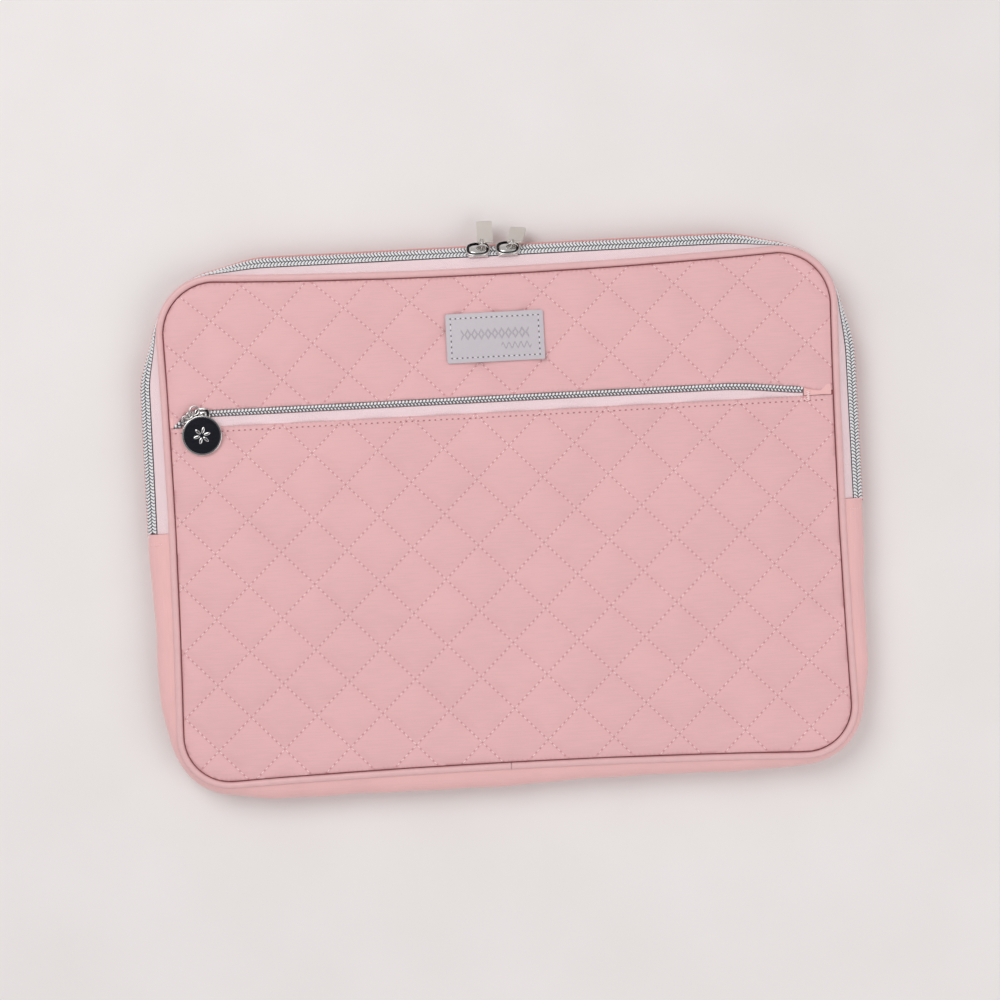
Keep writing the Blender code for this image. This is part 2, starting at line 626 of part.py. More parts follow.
def build():
    clear_scene()
    mats = {
        "nylon": finish("quilted_nylon", (0.78, 0.45, 0.46), 0.75),
        "gusset": finish("plain_nylon", (0.83, 0.50, 0.49), 0.7),
        "piping": finish("piping_leather", (0.73, 0.46, 0.47), 0.45),
        "tape": finish("zip_tape", (0.80, 0.63, 0.66), 0.85),
        "coil": finish("zip_coil", (0.75, 0.76, 0.77), 0.35),
        "foam": finish("foam", (0.85, 0.85, 0.83), 0.95),
        "lining": finish("lining", (0.74, 0.55, 0.56), 0.8),
        "binding": finish("seam_binding", (0.70, 0.45, 0.46), 0.8),
        "label": finish("label_leather", (0.58, 0.55, 0.59), 0.55),
        "chrome": finish("chrome", (0.80, 0.80, 0.80), 0.12, metallic=1.0),
        "frosted": finish("frosted_plastic", (0.83, 0.80, 0.78), 0.4, alpha=0.6),
        "charm": finish("polished_black_metal", (0.05, 0.05, 0.06), 0.1, metallic=1.0),
    }
    make_back(mats)
    make_front(mats)
    make_edges(mats)
    make_pocket_zip(mats)
    make_label(mats)
    make_slider("left_slider_body", LEFT_SLIDER_X, mats)
    make_slider("right_slider_body", RIGHT_SLIDER_X, mats)
    make_pull("left", LEFT_SLIDER_X, LEFT_TAB_DROP, 0.0, mats)
    make_pull("right", RIGHT_SLIDER_X, RIGHT_TAB_DROP, 10.0, mats)
    make_pocket_slider(mats)
    make_charm(mats)


build()
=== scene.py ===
# %% [markdown]
# # A quilted laptop sleeve
# The sleeve lies on its back on a pale table. Its working frame (panels, zips, sliders, hinges and their sizes)
# is loaded first and never moved. Everything below dresses that frame: puffed quilting, piping, knitted zip tape,
# coils tooth by tooth, plated hardware and the stitches that hold it all together.

# %% Load the frame
import math
from collections import namedtuple

import bmesh
import bpy
import numpy as np
from mathutils import Matrix, Vector


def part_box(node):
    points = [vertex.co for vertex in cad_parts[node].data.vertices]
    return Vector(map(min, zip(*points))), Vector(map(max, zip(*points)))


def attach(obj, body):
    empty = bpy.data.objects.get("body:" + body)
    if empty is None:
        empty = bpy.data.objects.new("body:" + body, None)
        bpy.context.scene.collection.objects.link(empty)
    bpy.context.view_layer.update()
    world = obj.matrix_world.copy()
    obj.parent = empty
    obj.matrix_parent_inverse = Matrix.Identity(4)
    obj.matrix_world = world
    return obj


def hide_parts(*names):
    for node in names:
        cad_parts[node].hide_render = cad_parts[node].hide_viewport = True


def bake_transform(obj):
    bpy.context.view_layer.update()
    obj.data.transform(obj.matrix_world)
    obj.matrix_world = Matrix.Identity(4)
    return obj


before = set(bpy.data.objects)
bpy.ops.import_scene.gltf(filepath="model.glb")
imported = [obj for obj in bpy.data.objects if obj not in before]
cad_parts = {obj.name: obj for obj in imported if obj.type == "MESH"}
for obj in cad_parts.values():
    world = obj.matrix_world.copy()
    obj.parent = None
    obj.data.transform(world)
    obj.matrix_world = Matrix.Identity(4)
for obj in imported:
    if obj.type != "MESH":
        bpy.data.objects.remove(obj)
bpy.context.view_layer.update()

MM = 0.001

# %% [markdown]
# ## Driving sizes
# The frame knows where each part is, so most sizes are read from its boxes. Only the values that a box can't tell,
# such as a corner's radius or how far a seam is drawn in, are repeated here by name.

# %% Sizes
GAP = 0.3 * MM                      # between pieces that touch
SEAM_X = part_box("back_panel")[1].x + GAP
SEAM_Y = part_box("back_panel")[1].y + GAP
TOP_RADIUS = 26 * MM
BOTTOM_RADIUS = 23 * MM
TOP_PINCH = 3.4 * MM                # how far the front seam is drawn in at the middle of each edge
BOTTOM_PINCH = 2.4 * MM
SIDE_PINCH = 1.3 * MM
PANEL_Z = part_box("upper_panel")[0].z
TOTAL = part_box("upper_panel")[1].z
UPPER_LIP = 2.7 * MM                # the upper panel's folded edge lies this far over the zip's tape
UPPER_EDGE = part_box("upper_panel")[0].y - UPPER_LIP
POCKET_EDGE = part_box("pocket_panel_flap")[1].y - 0.9 * MM    # its folded edge, pulled down a little
FLAP_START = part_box("flap_piping")[0].y
PIPING_OUT = 2.05 * MM              # piping centre, outward from the seam
PIPING_R = 1.75 * MM
POCKET_Y = 59.35 * MM               # the closed pocket zip, its half width and its ends
POCKET_HALF = 1.55 * MM
POCKET_LEFT, POCKET_RIGHT = -156 * MM, 152 * MM
FRONT_PIPING_Z = (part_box("flap_piping")[0].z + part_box("flap_piping")[1].z) / 2
BACK_PIPING_Z = (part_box("back_piping")[0].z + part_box("back_piping")[1].z) / 2
print(f"seam {SEAM_X:.4f} x {SEAM_Y:.4f} m, panel top {TOTAL:.4f} m")

# %% [markdown]
# ## The seam as a ruler
# Piping, binding, tapes, coils and gusset all follow one line: the seam between panel and edge. A position on it is
# its distance `s` from the middle of the right side, counter-clockwise. The functions take whole arrays of
# distances, so that a strip with hundreds of stations is placed in one go.

# %% Seam path
TOP_STRAIGHT = SEAM_Y - TOP_RADIUS
LOW_STRAIGHT = SEAM_Y - BOTTOM_RADIUS
RUNS = [  # start x, y, heading in degrees, length, radius (0 for a straight run)
    (SEAM_X, 0.0, 90, TOP_STRAIGHT, 0.0),
    (SEAM_X, TOP_STRAIGHT, 90, math.pi / 2 * TOP_RADIUS, TOP_RADIUS),
    (SEAM_X - TOP_RADIUS, SEAM_Y, 180, 2 * (SEAM_X - TOP_RADIUS), 0.0),
    (TOP_RADIUS - SEAM_X, SEAM_Y, 180, math.pi / 2 * TOP_RADIUS, TOP_RADIUS),
    (-SEAM_X, TOP_STRAIGHT, 270, TOP_STRAIGHT + LOW_STRAIGHT, 0.0),
    (-SEAM_X, -LOW_STRAIGHT, 270, math.pi / 2 * BOTTOM_RADIUS, BOTTOM_RADIUS),
    (BOTTOM_RADIUS - SEAM_X, -SEAM_Y, 0, 2 * (SEAM_X - BOTTOM_RADIUS), 0.0),
    (SEAM_X - BOTTOM_RADIUS, -SEAM_Y, 0, math.pi / 2 * BOTTOM_RADIUS, BOTTOM_RADIUS),
    (SEAM_X, -LOW_STRAIGHT, 90, LOW_STRAIGHT, 0.0),
]
PERIMETER = sum(run[3] for run in RUNS)
S_TOP = RUNS[0][3] + RUNS[1][3] + RUNS[2][3] / 2   # the middle of the top edge
S_LEFT = 2 * S_TOP                                  # the middle of the left side, at y 0


def smoothstep(value, low, high):
    t = np.clip((np.asarray(value, float) - low) / (high - low), 0.0, 1.0)
    return t * t * (3.0 - 2.0 * t)


def mix(a, b, t):
    return a + (b - a) * t


class Seam:
    """Points of the seam at distances s, with the outward normal, the corner weight and the draw-in."""

    def __init__(self, s):
        self.s = np.asarray(s, float)
        around = np.mod(self.s, PERIMETER)
        self.x, self.y, self.nx, self.ny = (np.zeros_like(around) for _ in range(4))
        start = 0.0
        for x0, y0, heading, length, radius in RUNS:
            here = (around >= start) & (around <= start + length)
            run = around[here] - start
            turn = run / radius if radius else np.zeros_like(run)
            angle = math.radians(heading) + turn
            if radius:
                cx = x0 - radius * math.sin(math.radians(heading))
                cy = y0 + radius * math.cos(math.radians(heading))
                self.x[here] = cx + radius * np.sin(angle)
                self.y[here] = cy - radius * np.cos(angle)
            else:
                self.x[here] = x0 + run * math.cos(math.radians(heading))
                self.y[here] = y0 + run * math.sin(math.radians(heading))
            self.nx[here], self.ny[here] = np.sin(angle), -np.cos(angle)
            start += length
        self.pinch = self._pinch()
        self.tight = self._tight()

    def _pinch(self):
        reach_x = np.clip(1 - (self.x / (SEAM_X - TOP_RADIUS)) ** 2, 0, 1)
        reach_y = np.clip(1 - (self.y / TOP_STRAIGHT) ** 2, 0, 1)
        flat = np.abs(self.ny) > 0.999
        upright = np.abs(self.nx) > 0.999
        edge = np.where(self.y > 0, TOP_PINCH, BOTTOM_PINCH)
        return np.where(flat, edge * reach_x, np.where(upright, SIDE_PINCH * reach_y, 0.0))

    def _tight(self):
        tight = np.zeros_like(self.x)
        half = math.sqrt(0.5)
        for side in (-1, 1):
            for level, radius, near, far in ((1, TOP_RADIUS, 6 * MM, 46 * MM),
                                             (-1, BOTTOM_RADIUS, 4 * MM, 40 * MM)):
                cx = side * (SEAM_X - radius + radius * half)
                cy = level * (SEAM_Y - radius + radius * half)
                away = np.hypot(self.x - cx, self.y - cy)
                tight = np.maximum(tight, 1 - smoothstep(away, near, far))
        return tight


def seam_between(first, last, step):
    return Seam(np.linspace(first, last, max(2, int(round((last - first) / step)) + 1)))


print(f"seam length {PERIMETER:.3f} m, of which the zip takes {S_LEFT:.3f} m")

# %% [markdown]
# ## Two ways to make a strip, and one to repeat a part
# A strip that follows the seam starts as a flat grid: its rows become stations and its columns the points of a
# cross-section. Its UV map then runs in metres along and round the strip, which is what weave and grain need.
# Stitches and zip teeth are one small mesh each, set down many times in a single object.

# %% Helpers for meshes
def object_from(name, bm, material, smooth_angle=40):
    mesh = bpy.data.meshes.new(name)
    bm.to_mesh(mesh)
    bm.free()
    mesh.materials.append(material)
    mesh.shade_smooth()
    mesh.set_sharp_from_angle(angle=math.radians(smooth_angle))
    piece = bpy.data.objects.new(name, mesh)
    bpy.context.collection.objects.link(piece)
    return piece


def dress(piece, body, slot, *nodes):
    """Gives a piece its body and hides the frame nodes that it stands for. The slot is not used."""
    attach(piece, body)
    if nodes:
        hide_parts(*nodes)
    return piece


def dress_over_fold(piece, slot, *nodes):
    """Bakes a piece's placement into its mesh without giving it a body, and hides the frame nodes that it stands for.
    The slot is not used.
    """
    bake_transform(piece)
    if nodes:
        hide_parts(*nodes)
    return piece


def bent_grid(rows, columns, place, closed_rows=False, closed_columns=False, size=(1.0, 1.0)):
    """A grid bent so that corner (i, j) lies at place[i, j]. Closed directions meet themselves."""
    bm = bmesh.new()
    uv = bm.loops.layers.uv.new("UVMap")
    across = columns - (0 if closed_columns else 1)
    along = rows - (0 if closed_rows else 1)
    bmesh.ops.create_grid(bm, x_segments=along, y_segments=across, size=0.5, calc_uvs=True)
    for vert in bm.verts:
        i = round((vert.co.x + 0.5) * along) % rows
        j = round((vert.co.y + 0.5) * across) % columns
        vert.co = place[i, j]
    for face in bm.faces:
        for loop in face.loops:
            loop[uv].uv = (loop[uv].uv[0] * size[0], loop[uv].uv[1] * size[1])
    if closed_rows or closed_columns:
        bmesh.ops.remove_doubles(bm, verts=bm.verts, dist=1e-7)
    return bm


def swept(name, place, length, material, closed=False):
    """A closed body through the cross-sections place[i], with caps unless its ends meet."""
    girth = np.linalg.norm(np.diff(place[0], axis=0), axis=1).sum()
    bm = bent_grid(*place.shape[:2], place, closed, True, (length, girth))
    if not closed:
        bmesh.ops.holes_fill(bm, edges=[e for e in bm.edges if e.is_boundary], sides=0)
    bmesh.ops.recalc_face_normals(bm, faces=bm.faces)
    return object_from(name, bm, material)


def strip(name, seam, section, material, closed=False):
    """A strip along the seam. section(seam) gives (out, z) for each point round the cross-section."""
    points = section(seam)
    out, height = (np.stack([np.broadcast_to(p[k], seam.x.shape) for p in points], axis=1) for k in (0, 1))
    place = np.stack([seam.x[:, None] + seam.nx[:, None] * out,
                      seam.y[:, None] + seam.ny[:, None] * out, height], axis=2)
    return swept(name, place, abs(seam.s[-1] - seam.s[0]), material, closed)


def crossbar(name, x, section, material):
    """A strip along X. section(x) gives (y, z) for each point round the cross-section."""
    points = section(x)
    y, z = (np.stack([np.broadcast_to(p[k], x.shape) for p in points], axis=1) for k in (0, 1))
    return swept(name, np.stack([x[:, None] + 0 * y, y, z], axis=2), x[-1] - x[0], material)


def copies(name, template, matrices, material):
    """One object with a copy of the template mesh at each matrix."""
    count = len(template.vertices)
    base = np.zeros(count * 3)
    template.vertices.foreach_get("co", base)
    base = np.c_[base.reshape(-1, 3), np.ones(count)]
    bm = bmesh.new()
    for matrix in matrices:
        placed = base @ np.asarray(matrix, float).T[:, :3]
        template.vertices.foreach_set("co", placed.ravel())
        bm.from_mesh(template, face_normals=False)
    template.vertices.foreach_set("co", base[:, :3].ravel())
    bm.normal_update()
    return object_from(name, bm, material, smooth_angle=80)


def axes_matrix(origin, first, second, third):
    """A 4 by 4 matrix whose columns are three axes, which may carry a scale, and a place."""
    matrix = np.eye(4)
    matrix[:3, 0], matrix[:3, 1], matrix[:3, 2], matrix[:3, 3] = first, second, third, origin
    return matrix


def bead(length, width, height, segments=6, rings=4):
    """A rounded bead, long along X: a stitch of thread or one leg of a zip coil."""
    bm = bmesh.new()
    bmesh.ops.create_uvsphere(bm, u_segments=segments, v_segments=rings, radius=0.5,
                              matrix=Matrix.Rotation(math.radians(90), 4, "Y"))
    bmesh.ops.scale(bm, vec=(length, width, height), verts=bm.verts)
    mesh = bpy.data.meshes.new("bead")
    bm.to_mesh(mesh)
    bm.free()
    return mesh


# %% [markdown]
# ## Shared surface effects
# Cloth, leather and plating each have a fine structure that several materials share, so each is a node group:
# a plain weave with a slight unevenness of tone, a leather grain, and the faint scuffs of handled metal.
# A group only gives out values that vary over the surface. The shader itself stays in each material.

# %% Node helpers
def node(tree, kind, settings=None, **inputs):
    """Adds a node. An input is a number, a colour, or another node's output."""
    made = tree.nodes.new(kind)
    for key, value in (settings or {}).items():
        setattr(made, key, value)
    for key, value in inputs.items():
        numbered = key[0] == "i" and key[1:].isdigit()
        socket = made.inputs[int(key[1:]) if numbered else key.replace("_", " ")]
        if isinstance(value, bpy.types.NodeSocket):
            tree.links.new(value, socket)
        else:
            socket.default_value = value
    return made


def calc(tree, operation, a, b=0.0, clamp=False):
    made = node(tree, "ShaderNodeMath", {"operation": operation, "use_clamp": clamp}, i0=a, i1=b)
    return made.outputs[0]


def group(name, numbers, outputs):
    """A new shader group with a Vector input, number inputs and number outputs."""
    tree = bpy.data.node_groups.new(name, "ShaderNodeTree")
    tree.interface.new_socket("Vector", in_out="INPUT", socket_type="NodeSocketVector")
    for label, default in numbers.items():
        socket = tree.interface.new_socket(label, in_out="INPUT", socket_type="NodeSocketFloat")
        socket.default_value = default
    for label in outputs:
        tree.interface.new_socket(label, in_out="OUTPUT", socket_type="NodeSocketFloat")
    return tree, tree.nodes.new("NodeGroupInput").outputs, tree.nodes.new("NodeGroupOutput").inputs


# %% [markdown]
# ### Weave
# Plain cloth is threads going over and under each other. Two sine waves at right angles give the bumps, and slow
# noise stretched along the weft gives the uneven tone of dyed thread.

# %% Weave group
weave, given, result = group("Weave", {"Pitch": 0.0004, "Slub": 0.5, "Mottle": 0.5}, ["Height", "Tone"])
split = node(weave, "ShaderNodeSeparateXYZ", Vector=given["Vector"])
rate = calc(weave, "DIVIDE", math.pi, given["Pitch"])
warp = calc(weave, "SINE", calc(weave, "MULTIPLY", split.outputs[0], rate))
weft = calc(weave, "SINE", calc(weave, "MULTIPLY", split.outputs[1], rate))
over = calc(weave, "MULTIPLY", warp, weft)
weave.links.new(calc(weave, "MULTIPLY_ADD", over, 0.5), result["Height"])
stretched = node(weave, "ShaderNodeMapping", Vector=given["Vector"], Scale=(90.0, 1400.0, 90.0))
streak = node(weave, "ShaderNodeTexNoise", Vector=stretched.outputs[0], Scale=1.0, Detail=3.0)
cloud = node(weave, "ShaderNodeTexNoise", Vector=given["Vector"], Scale=38.0, Detail=2.0)
slub = calc(weave, "MULTIPLY", calc(weave, "SUBTRACT", streak.outputs["Fac"], 0.5), given["Slub"])
mottle = calc(weave, "MULTIPLY", calc(weave, "SUBTRACT", cloud.outputs["Fac"], 0.5), given["Mottle"])
weave.links.new(calc(weave, "ADD", calc(weave, "ADD", slub, mottle), 0.5), result["Tone"])

# %% [markdown]
# ### Grain and scuffs
# Leather has small rounded cells with creases between them, which is what a smooth Voronoi pattern gives. Scuffs
# are long thin noise that changes how sharply plating shines.

# %% Grain and scuff groups
grain, given, result = group("Grain", {"Size": 0.0007}, ["Height", "Tone"])
fine = calc(grain, "DIVIDE", 1.0, given["Size"])
cells = node(grain, "ShaderNodeTexVoronoi", {"feature": "SMOOTH_F1"}, Vector=given["Vector"], Scale=fine,
             Smoothness=0.6)
creases = node(grain, "ShaderNodeTexNoise", Vector=given["Vector"], Scale=260.0, Detail=4.0)
grain.links.new(calc(grain, "ADD", cells.outputs["Distance"], calc(grain, "MULTIPLY", creases.outputs["Fac"], 0.5)),
                result["Height"])
grain.links.new(creases.outputs["Fac"], result["Tone"])

scuff, given, result = group("Scuff", {"Amount": 0.2}, ["Roughness"])
long_marks = node(scuff, "ShaderNodeMapping", Vector=given["Vector"], Scale=(300.0, 2600.0, 700.0),
                  Rotation=(0.2, 0.1, 0.6))
marks = node(scuff, "ShaderNodeTexNoise", Vector=long_marks.outputs[0], Scale=1.0, Detail=4.0)
scuff.links.new(calc(scuff, "MULTIPLY", marks.outputs["Fac"], given["Amount"]), result["Roughness"])
print("groups:", [tree.name for tree in bpy.data.node_groups])


# %% [markdown]
# ## Cloth and leather finishes
# All the cloths differ only in colour, thread pitch and sheen, so one function builds them. Its two colours are the
# darkest and lightest tone of the same dye.

# %% Cloth and leather
def new_finish(name, roughness, **sockets):
    material = bpy.data.materials.new(name)
    material.use_nodes = True
    shader = material.node_tree.nodes["Principled BSDF"]
    shader.inputs["Roughness"].default_value = roughness
    for label, value in sockets.items():
        shader.inputs[label.replace("_", " ")].default_value = value
    return material, material.node_tree, shader


def srgb(red, green, blue):
    """A colour given as it looks on a screen, 0 to 255, turned linear."""
    return tuple(c / 12.92 if c <= 0.04045 else ((c + 0.055) / 1.055) ** 2.4
                 for c in (red / 255, green / 255, blue / 255)) + (1.0,)


def darker(colour, share):
    return tuple(c * share for c in colour[:3]) + (1.0,)


def tone_mix(tree, fac, dark, light):
    made = node(tree, "ShaderNodeMix", {"data_type": "RGBA"}, i0=fac)
    made.inputs[6].default_value = dark
    made.inputs[7].default_value = light
    return made.outputs[2]


def surface_point(tree, by_uv):
    point = tree.nodes.new("ShaderNodeTexCoord")
    return point.outputs["UV" if by_uv else "Object"]


def cloth(name, colour, pitch, roughness=0.8, sheen=0.25, relief=0.00004, contrast=0.9, by_uv=False,
          slub=0.6, mottle=0.5):
    material, tree, shader = new_finish(name, roughness, Sheen_Weight=sheen, Sheen_Roughness=0.5)
    woven = node(tree, "ShaderNodeGroup", {"node_tree": weave}, Vector=surface_point(tree, by_uv), Pitch=pitch,
                 Slub=slub, Mottle=mottle)
    tree.links.new(tone_mix(tree, woven.outputs["Tone"], darker(colour, contrast), darker(colour, 2 - contrast)),
                   shader.inputs["Base Color"])
    bump = node(tree, "ShaderNodeBump", Height=woven.outputs["Height"], Distance=relief)
    tree.links.new(bump.outputs[0], shader.inputs["Normal"])
    return material


def leather(name, colour, size, roughness, relief, contrast=0.93, by_uv=False):
    material, tree, shader = new_finish(name, roughness)
    skin = node(tree, "ShaderNodeGroup", {"node_tree": grain}, Vector=surface_point(tree, by_uv), Size=size)
    tree.links.new(tone_mix(tree, skin.outputs["Tone"], darker(colour, contrast), darker(colour, 2 - contrast)),
                   shader.inputs["Base Color"])
    bump = node(tree, "ShaderNodeBump", Height=skin.outputs["Height"], Distance=relief)
    tree.links.new(bump.outputs[0], shader.inputs["Normal"])
    return material


ROSE = srgb(228, 178, 180)
nylon = cloth("quilted_nylon", ROSE, 0.30 * MM, roughness=0.62, sheen=0.2)
plain_nylon = cloth("plain_nylon", srgb(237, 186, 185), 0.30 * MM, roughness=0.6, by_uv=True)
piping_skin = leather("piping_leather", srgb(226, 181, 182), 0.5 * MM, 0.42, 0.02 * MM, by_uv=True)
# Painted shade: the back piping is the piping's leather made darker and redder, for the shade along the far edge.
back_piping_painted_shade = leather("back_piping_leather_painted_shade", srgb(206, 120, 118), 0.5 * MM, 0.42, 0.02 * MM, by_uv=True)
# Painted shade: a dark rose cloth for the piping's flange, which shows only in the shaded gap beside the panel.
seam_shade_cloth = cloth("seam_shade_cloth", srgb(170, 104, 106), 0.4 * MM, by_uv=True)
# Painted shade: a darker salmon copy of the plain nylon for the back tape, standing in for the shade on the far edge.
edge_cloth_painted_shade = cloth("edge_cloth_painted_shade", srgb(216, 142, 140), 0.30 * MM, roughness=0.6, by_uv=True)
tape_knit = cloth("zip_tape_knit", srgb(238, 213, 217), 0.55 * MM, roughness=0.9, relief=0.00012, by_uv=True)
lining_cloth = cloth("lining_cloth", srgb(214, 182, 184), 0.28 * MM, roughness=0.5, sheen=0.1)
binding_cloth = cloth("seam_binding", srgb(208, 160, 163), 0.6 * MM, relief=0.00012, by_uv=True)
thread = cloth("sewing_thread", srgb(247, 216, 216), 0.25 * MM, roughness=0.55, sheen=0.4, contrast=0.8)
foam_skin = leather("open_foam", srgb(228, 226, 220), 0.9 * MM, 0.95, 0.1 * MM)
print("cloth and leather:", len(bpy.data.materials), "materials")

# %% [markdown]
# ## Table, light and camera
# The sleeve lies flat and is seen from straight above, turned by three degrees. A broad lamp on the upper left,
# a weaker one opposite and a pale sky keep shadows short and soft, so that gentle shading shows the quilting.

# %% Table, light and camera
TURN = math.radians(3)
ROOM_LIGHT, OVERHEAD_LIGHT = 0.69, 0.11          # the room is darker straight above, where the viewer stands
AIM = Vector((-3.05 * MM, 8.67 * MM, 0))
CAMERA_HEIGHT = 1.42
VIEW_WIDTH = 0.5                    # of the plane of the front panel, in metres
SENSOR = 36.0
scene = bpy.context.scene
camera_data = bpy.data.cameras.new("camera")
camera_data.sensor_width = SENSOR
camera_data.lens = SENSOR * (CAMERA_HEIGHT - TOTAL) / VIEW_WIDTH
camera = bpy.data.objects.new("camera", camera_data)
camera.location = (AIM.x, AIM.y, CAMERA_HEIGHT)
camera.rotation_euler = (0, 0, -TURN)
scene.collection.objects.link(camera)
scene.camera = camera
scene.view_settings.view_transform = "Standard"


def lamp(name, place, size, power, target=(0, 0, 0)):
    data = bpy.data.lights.new(name, "AREA")
    data.shape = "DISK"
    data.size = size
    data.energy = power
    made = bpy.data.objects.new(name, data)
    made.location = place
    made.rotation_euler = (Vector(target) - Vector(place)).to_track_quat("-Z", "Y").to_euler()
    scene.collection.objects.link(made)
    return made


lamp("key", (-0.65, 0.65, 1.35), 1.1, 10.2)
lamp("fill", (0.85, -0.6, 1.3), 1.4, 7.2)

world = bpy.data.worlds.new("pale_room")
scene.world = world
world.use_nodes = True
background = world.node_tree.nodes["Background"]
background.inputs[0].default_value = srgb(240, 238, 238)
direction = node(world.node_tree, "ShaderNodeTexCoord")
height = node(world.node_tree, "ShaderNodeSeparateXYZ", Vector=direction.outputs["Generated"])
overhead = node(world.node_tree, "ShaderNodeMapRange", {"interpolation_type": "SMOOTHSTEP"}, Value=height.outputs[2],
                From_Min=0.86, From_Max=0.97, To_Min=ROOM_LIGHT, To_Max=OVERHEAD_LIGHT)
world.node_tree.links.new(overhead.outputs[0], background.inputs[1])

floor_bm = bmesh.new()
bmesh.ops.create_grid(floor_bm, x_segments=1, y_segments=1, size=4.0)
table_top, tree, shader = new_finish("table_top", 0.7)
uneven = node(tree, "ShaderNodeTexNoise", Vector=surface_point(tree, False), Scale=14.0, Detail=5.0)
tree.links.new(tone_mix(tree, uneven.outputs["Fac"], srgb(229, 224, 222), srgb(238, 235, 234)),
               shader.inputs["Base Color"])
table = object_from("table", floor_bm, table_top)
print(f"camera lens {camera_data.lens:.1f} mm at {CAMERA_HEIGHT} m")

# %% [markdown]
# ## Quilting
# The real panels are a thin nylon over wadding, sewn through along crossing diagonals. Each panel starts as a flat
# grid turned by 45 degrees, whose lines fall exactly on the seams, trimmed to the panel's outline and lifted into
# pillows. A short cloth simulation then holds the seams and lets the slightly long fabric between them find its own
# small folds, which no formula draws as well.

# %% Quilting helpers
QUILT = 33.5 * MM                   # corner to corner of one diamond
PUFF = 1.25 * MM
GROOVE = PANEL_Z + 0.35 * MM        # height of a sewn line
CORNER_CUTS = 9
DECIMETRE = 10.0


def outline_planes(inset):
    """Planes that trim a sheet to the seam's outline, without its draw-in."""
    planes = [((side * (SEAM_X - inset), 0, 0), (side, 0, 0)) for side in (-1, 1)]
    planes += [((0, side * (SEAM_Y - inset), 0), (0, side, 0)) for side in (-1, 1)]
    for level, radius in ((1, TOP_RADIUS), (-1, BOTTOM_RADIUS)):
        for side in (-1, 1):
            for k in range(1, CORNER_CUTS):
                angle = math.pi / 2 * k / CORNER_CUTS
                normal = Vector((side * math.cos(angle), level * math.sin(angle), 0))
                centre = Vector((side * (SEAM_X - radius), level * (SEAM_Y - radius), 0))
                planes.append((centre + normal * (radius - inset), normal))
    return planes


def trim(bm, planes):
    for place, normal in planes:
        bmesh.ops.bisect_plane(bm, geom=bm.verts[:] + bm.edges[:] + bm.faces[:], dist=1e-6,
                               plane_co=place, plane_no=normal, clear_outer=True)


def flat_places(bm):
    return np.array([vert.co[:2] for vert in bm.verts]).T


def turned_down(x):
    """How far the pocket zip lies below its straight line: gently to the right, steeply at the left end."""
    return 3.9 * MM * smoothstep(x, 110 * MM, 162 * MM) + 8.0 * MM * smoothstep(-x, 152 * MM, 168 * MM)


def droop(x, y):
    """The upper panel's free edge follows the zip down and closes over both of its ends."""
    right = turned_down(np.maximum(x, 0)) + 2.3 * MM * smoothstep(x, 146 * MM, 161 * MM)
    return (right + 9.0 * MM * smoothstep(-x, 155 * MM, 168 * MM)) * (1 - smoothstep(y - UPPER_EDGE, 0, 26 * MM))


def drawn_in(x, y, drooping=False):
    """Moves points of the flat outline to the seam's drawn-in line, less and less away from the edge."""
    reach_x = np.clip(1 - (x / (SEAM_X - TOP_RADIUS)) ** 2, 0, 1)
    reach_y = np.clip(1 - (y / TOP_STRAIGHT) ** 2, 0, 1)
    edge = np.where(y > 0, TOP_PINCH, BOTTOM_PINCH)
    near_x, near_y = (np.clip(np.abs(v) / limit, 0, 1) ** 5 for v, limit in ((x, SEAM_X), (y, SEAM_Y)))
    return (x - np.sign(x) * SIDE_PINCH * reach_y * near_x,
            y - np.sign(y) * edge * reach_x * near_y - (droop(x, y) if drooping else 0.0))


def laid_flat(x, y, drooping=False):
    """The points of the flat outline that drawn_in moves to x, y."""
    flat = x, y
    for _ in range(6):
        moved = drawn_in(*flat, drooping)
        flat = flat[0] + x - moved[0], flat[1] + y - moved[1]
    return flat


def edge_distance(x, y):
    """How far points of the flat sheet lie inside the seam."""
    radius = np.where(y > 0, TOP_RADIUS, BOTTOM_RADIUS)
    dx, dy = SEAM_X - np.abs(x), SEAM_Y - np.abs(y)
    in_corner = (dx < radius) & (dy < radius)
    return np.where(in_corner, radius - np.hypot(radius - dx, radius - dy), np.minimum(dx, dy))


# %% [markdown]
# ### Where the seams run
# Sewn cloth never keeps its pattern exactly straight. The drift of each set of diagonals is a slow curve over the
# panel, so each panel has a quadratic for its rising seams and one for its falling seams.

# %% Sewing lines
Stretch = namedtuple("Stretch", "low high rising falling")
LOWER_STRETCH = Stretch(-SEAM_Y, POCKET_EDGE, (4.8, -2.8, 1.1, 0.5, -0.1, -0.2), (32.4, -0.9, 5.0, -0.6, -0.3, 0.0))
UPPER_STRETCH = Stretch(POCKET_EDGE, SEAM_Y, (27.9, -0.9, 17.8, -1.5, 2.1, -10.8),
                        (16.9, -5.9, -12.3, 0.9, 2.2, 7.8))
BACK_STRETCH = Stretch(-SEAM_Y, SEAM_Y, (10.0, 1.0, 0.5, 0.3, 0.2, 0.0), (21.0, -0.7, 1.2, 0.2, -0.4, 0.0))


def sewing_lines(x, y, stretch):
    """Where points lie between the seams of each direction, counted in diamonds."""
    a = np.clip(x, -SEAM_X, SEAM_X) * DECIMETRE
    b = np.clip(y, stretch.low, stretch.high) * DECIMETRE
    terms = (1, a, b, a * a, a * b, b * b)
    rising, falling = (MM * sum(c * term for c, term in zip(drift, terms)) for drift in stretch[2:])
    return (x + y - rising) / QUILT, (x - y - falling) / QUILT


def sewing_points(p, q, stretch):
    """The other way round, found by repeated correction."""
    x, y = (p + q) * QUILT / 2, (p - q) * QUILT / 2
    for _ in range(12):
        here = sewing_lines(x, y, stretch)
        dp, dq = p - here[0], q - here[1]
        x, y = x + (dp + dq) * QUILT / 2, y + (dp - dq) * QUILT / 2
    return x, y


def pillow(p, q):
    """Height share of a diamond, 0 on its seams and 1 in its middle."""
    return np.abs(np.sin(math.pi * p) * np.sin(math.pi * q)) ** 0.6


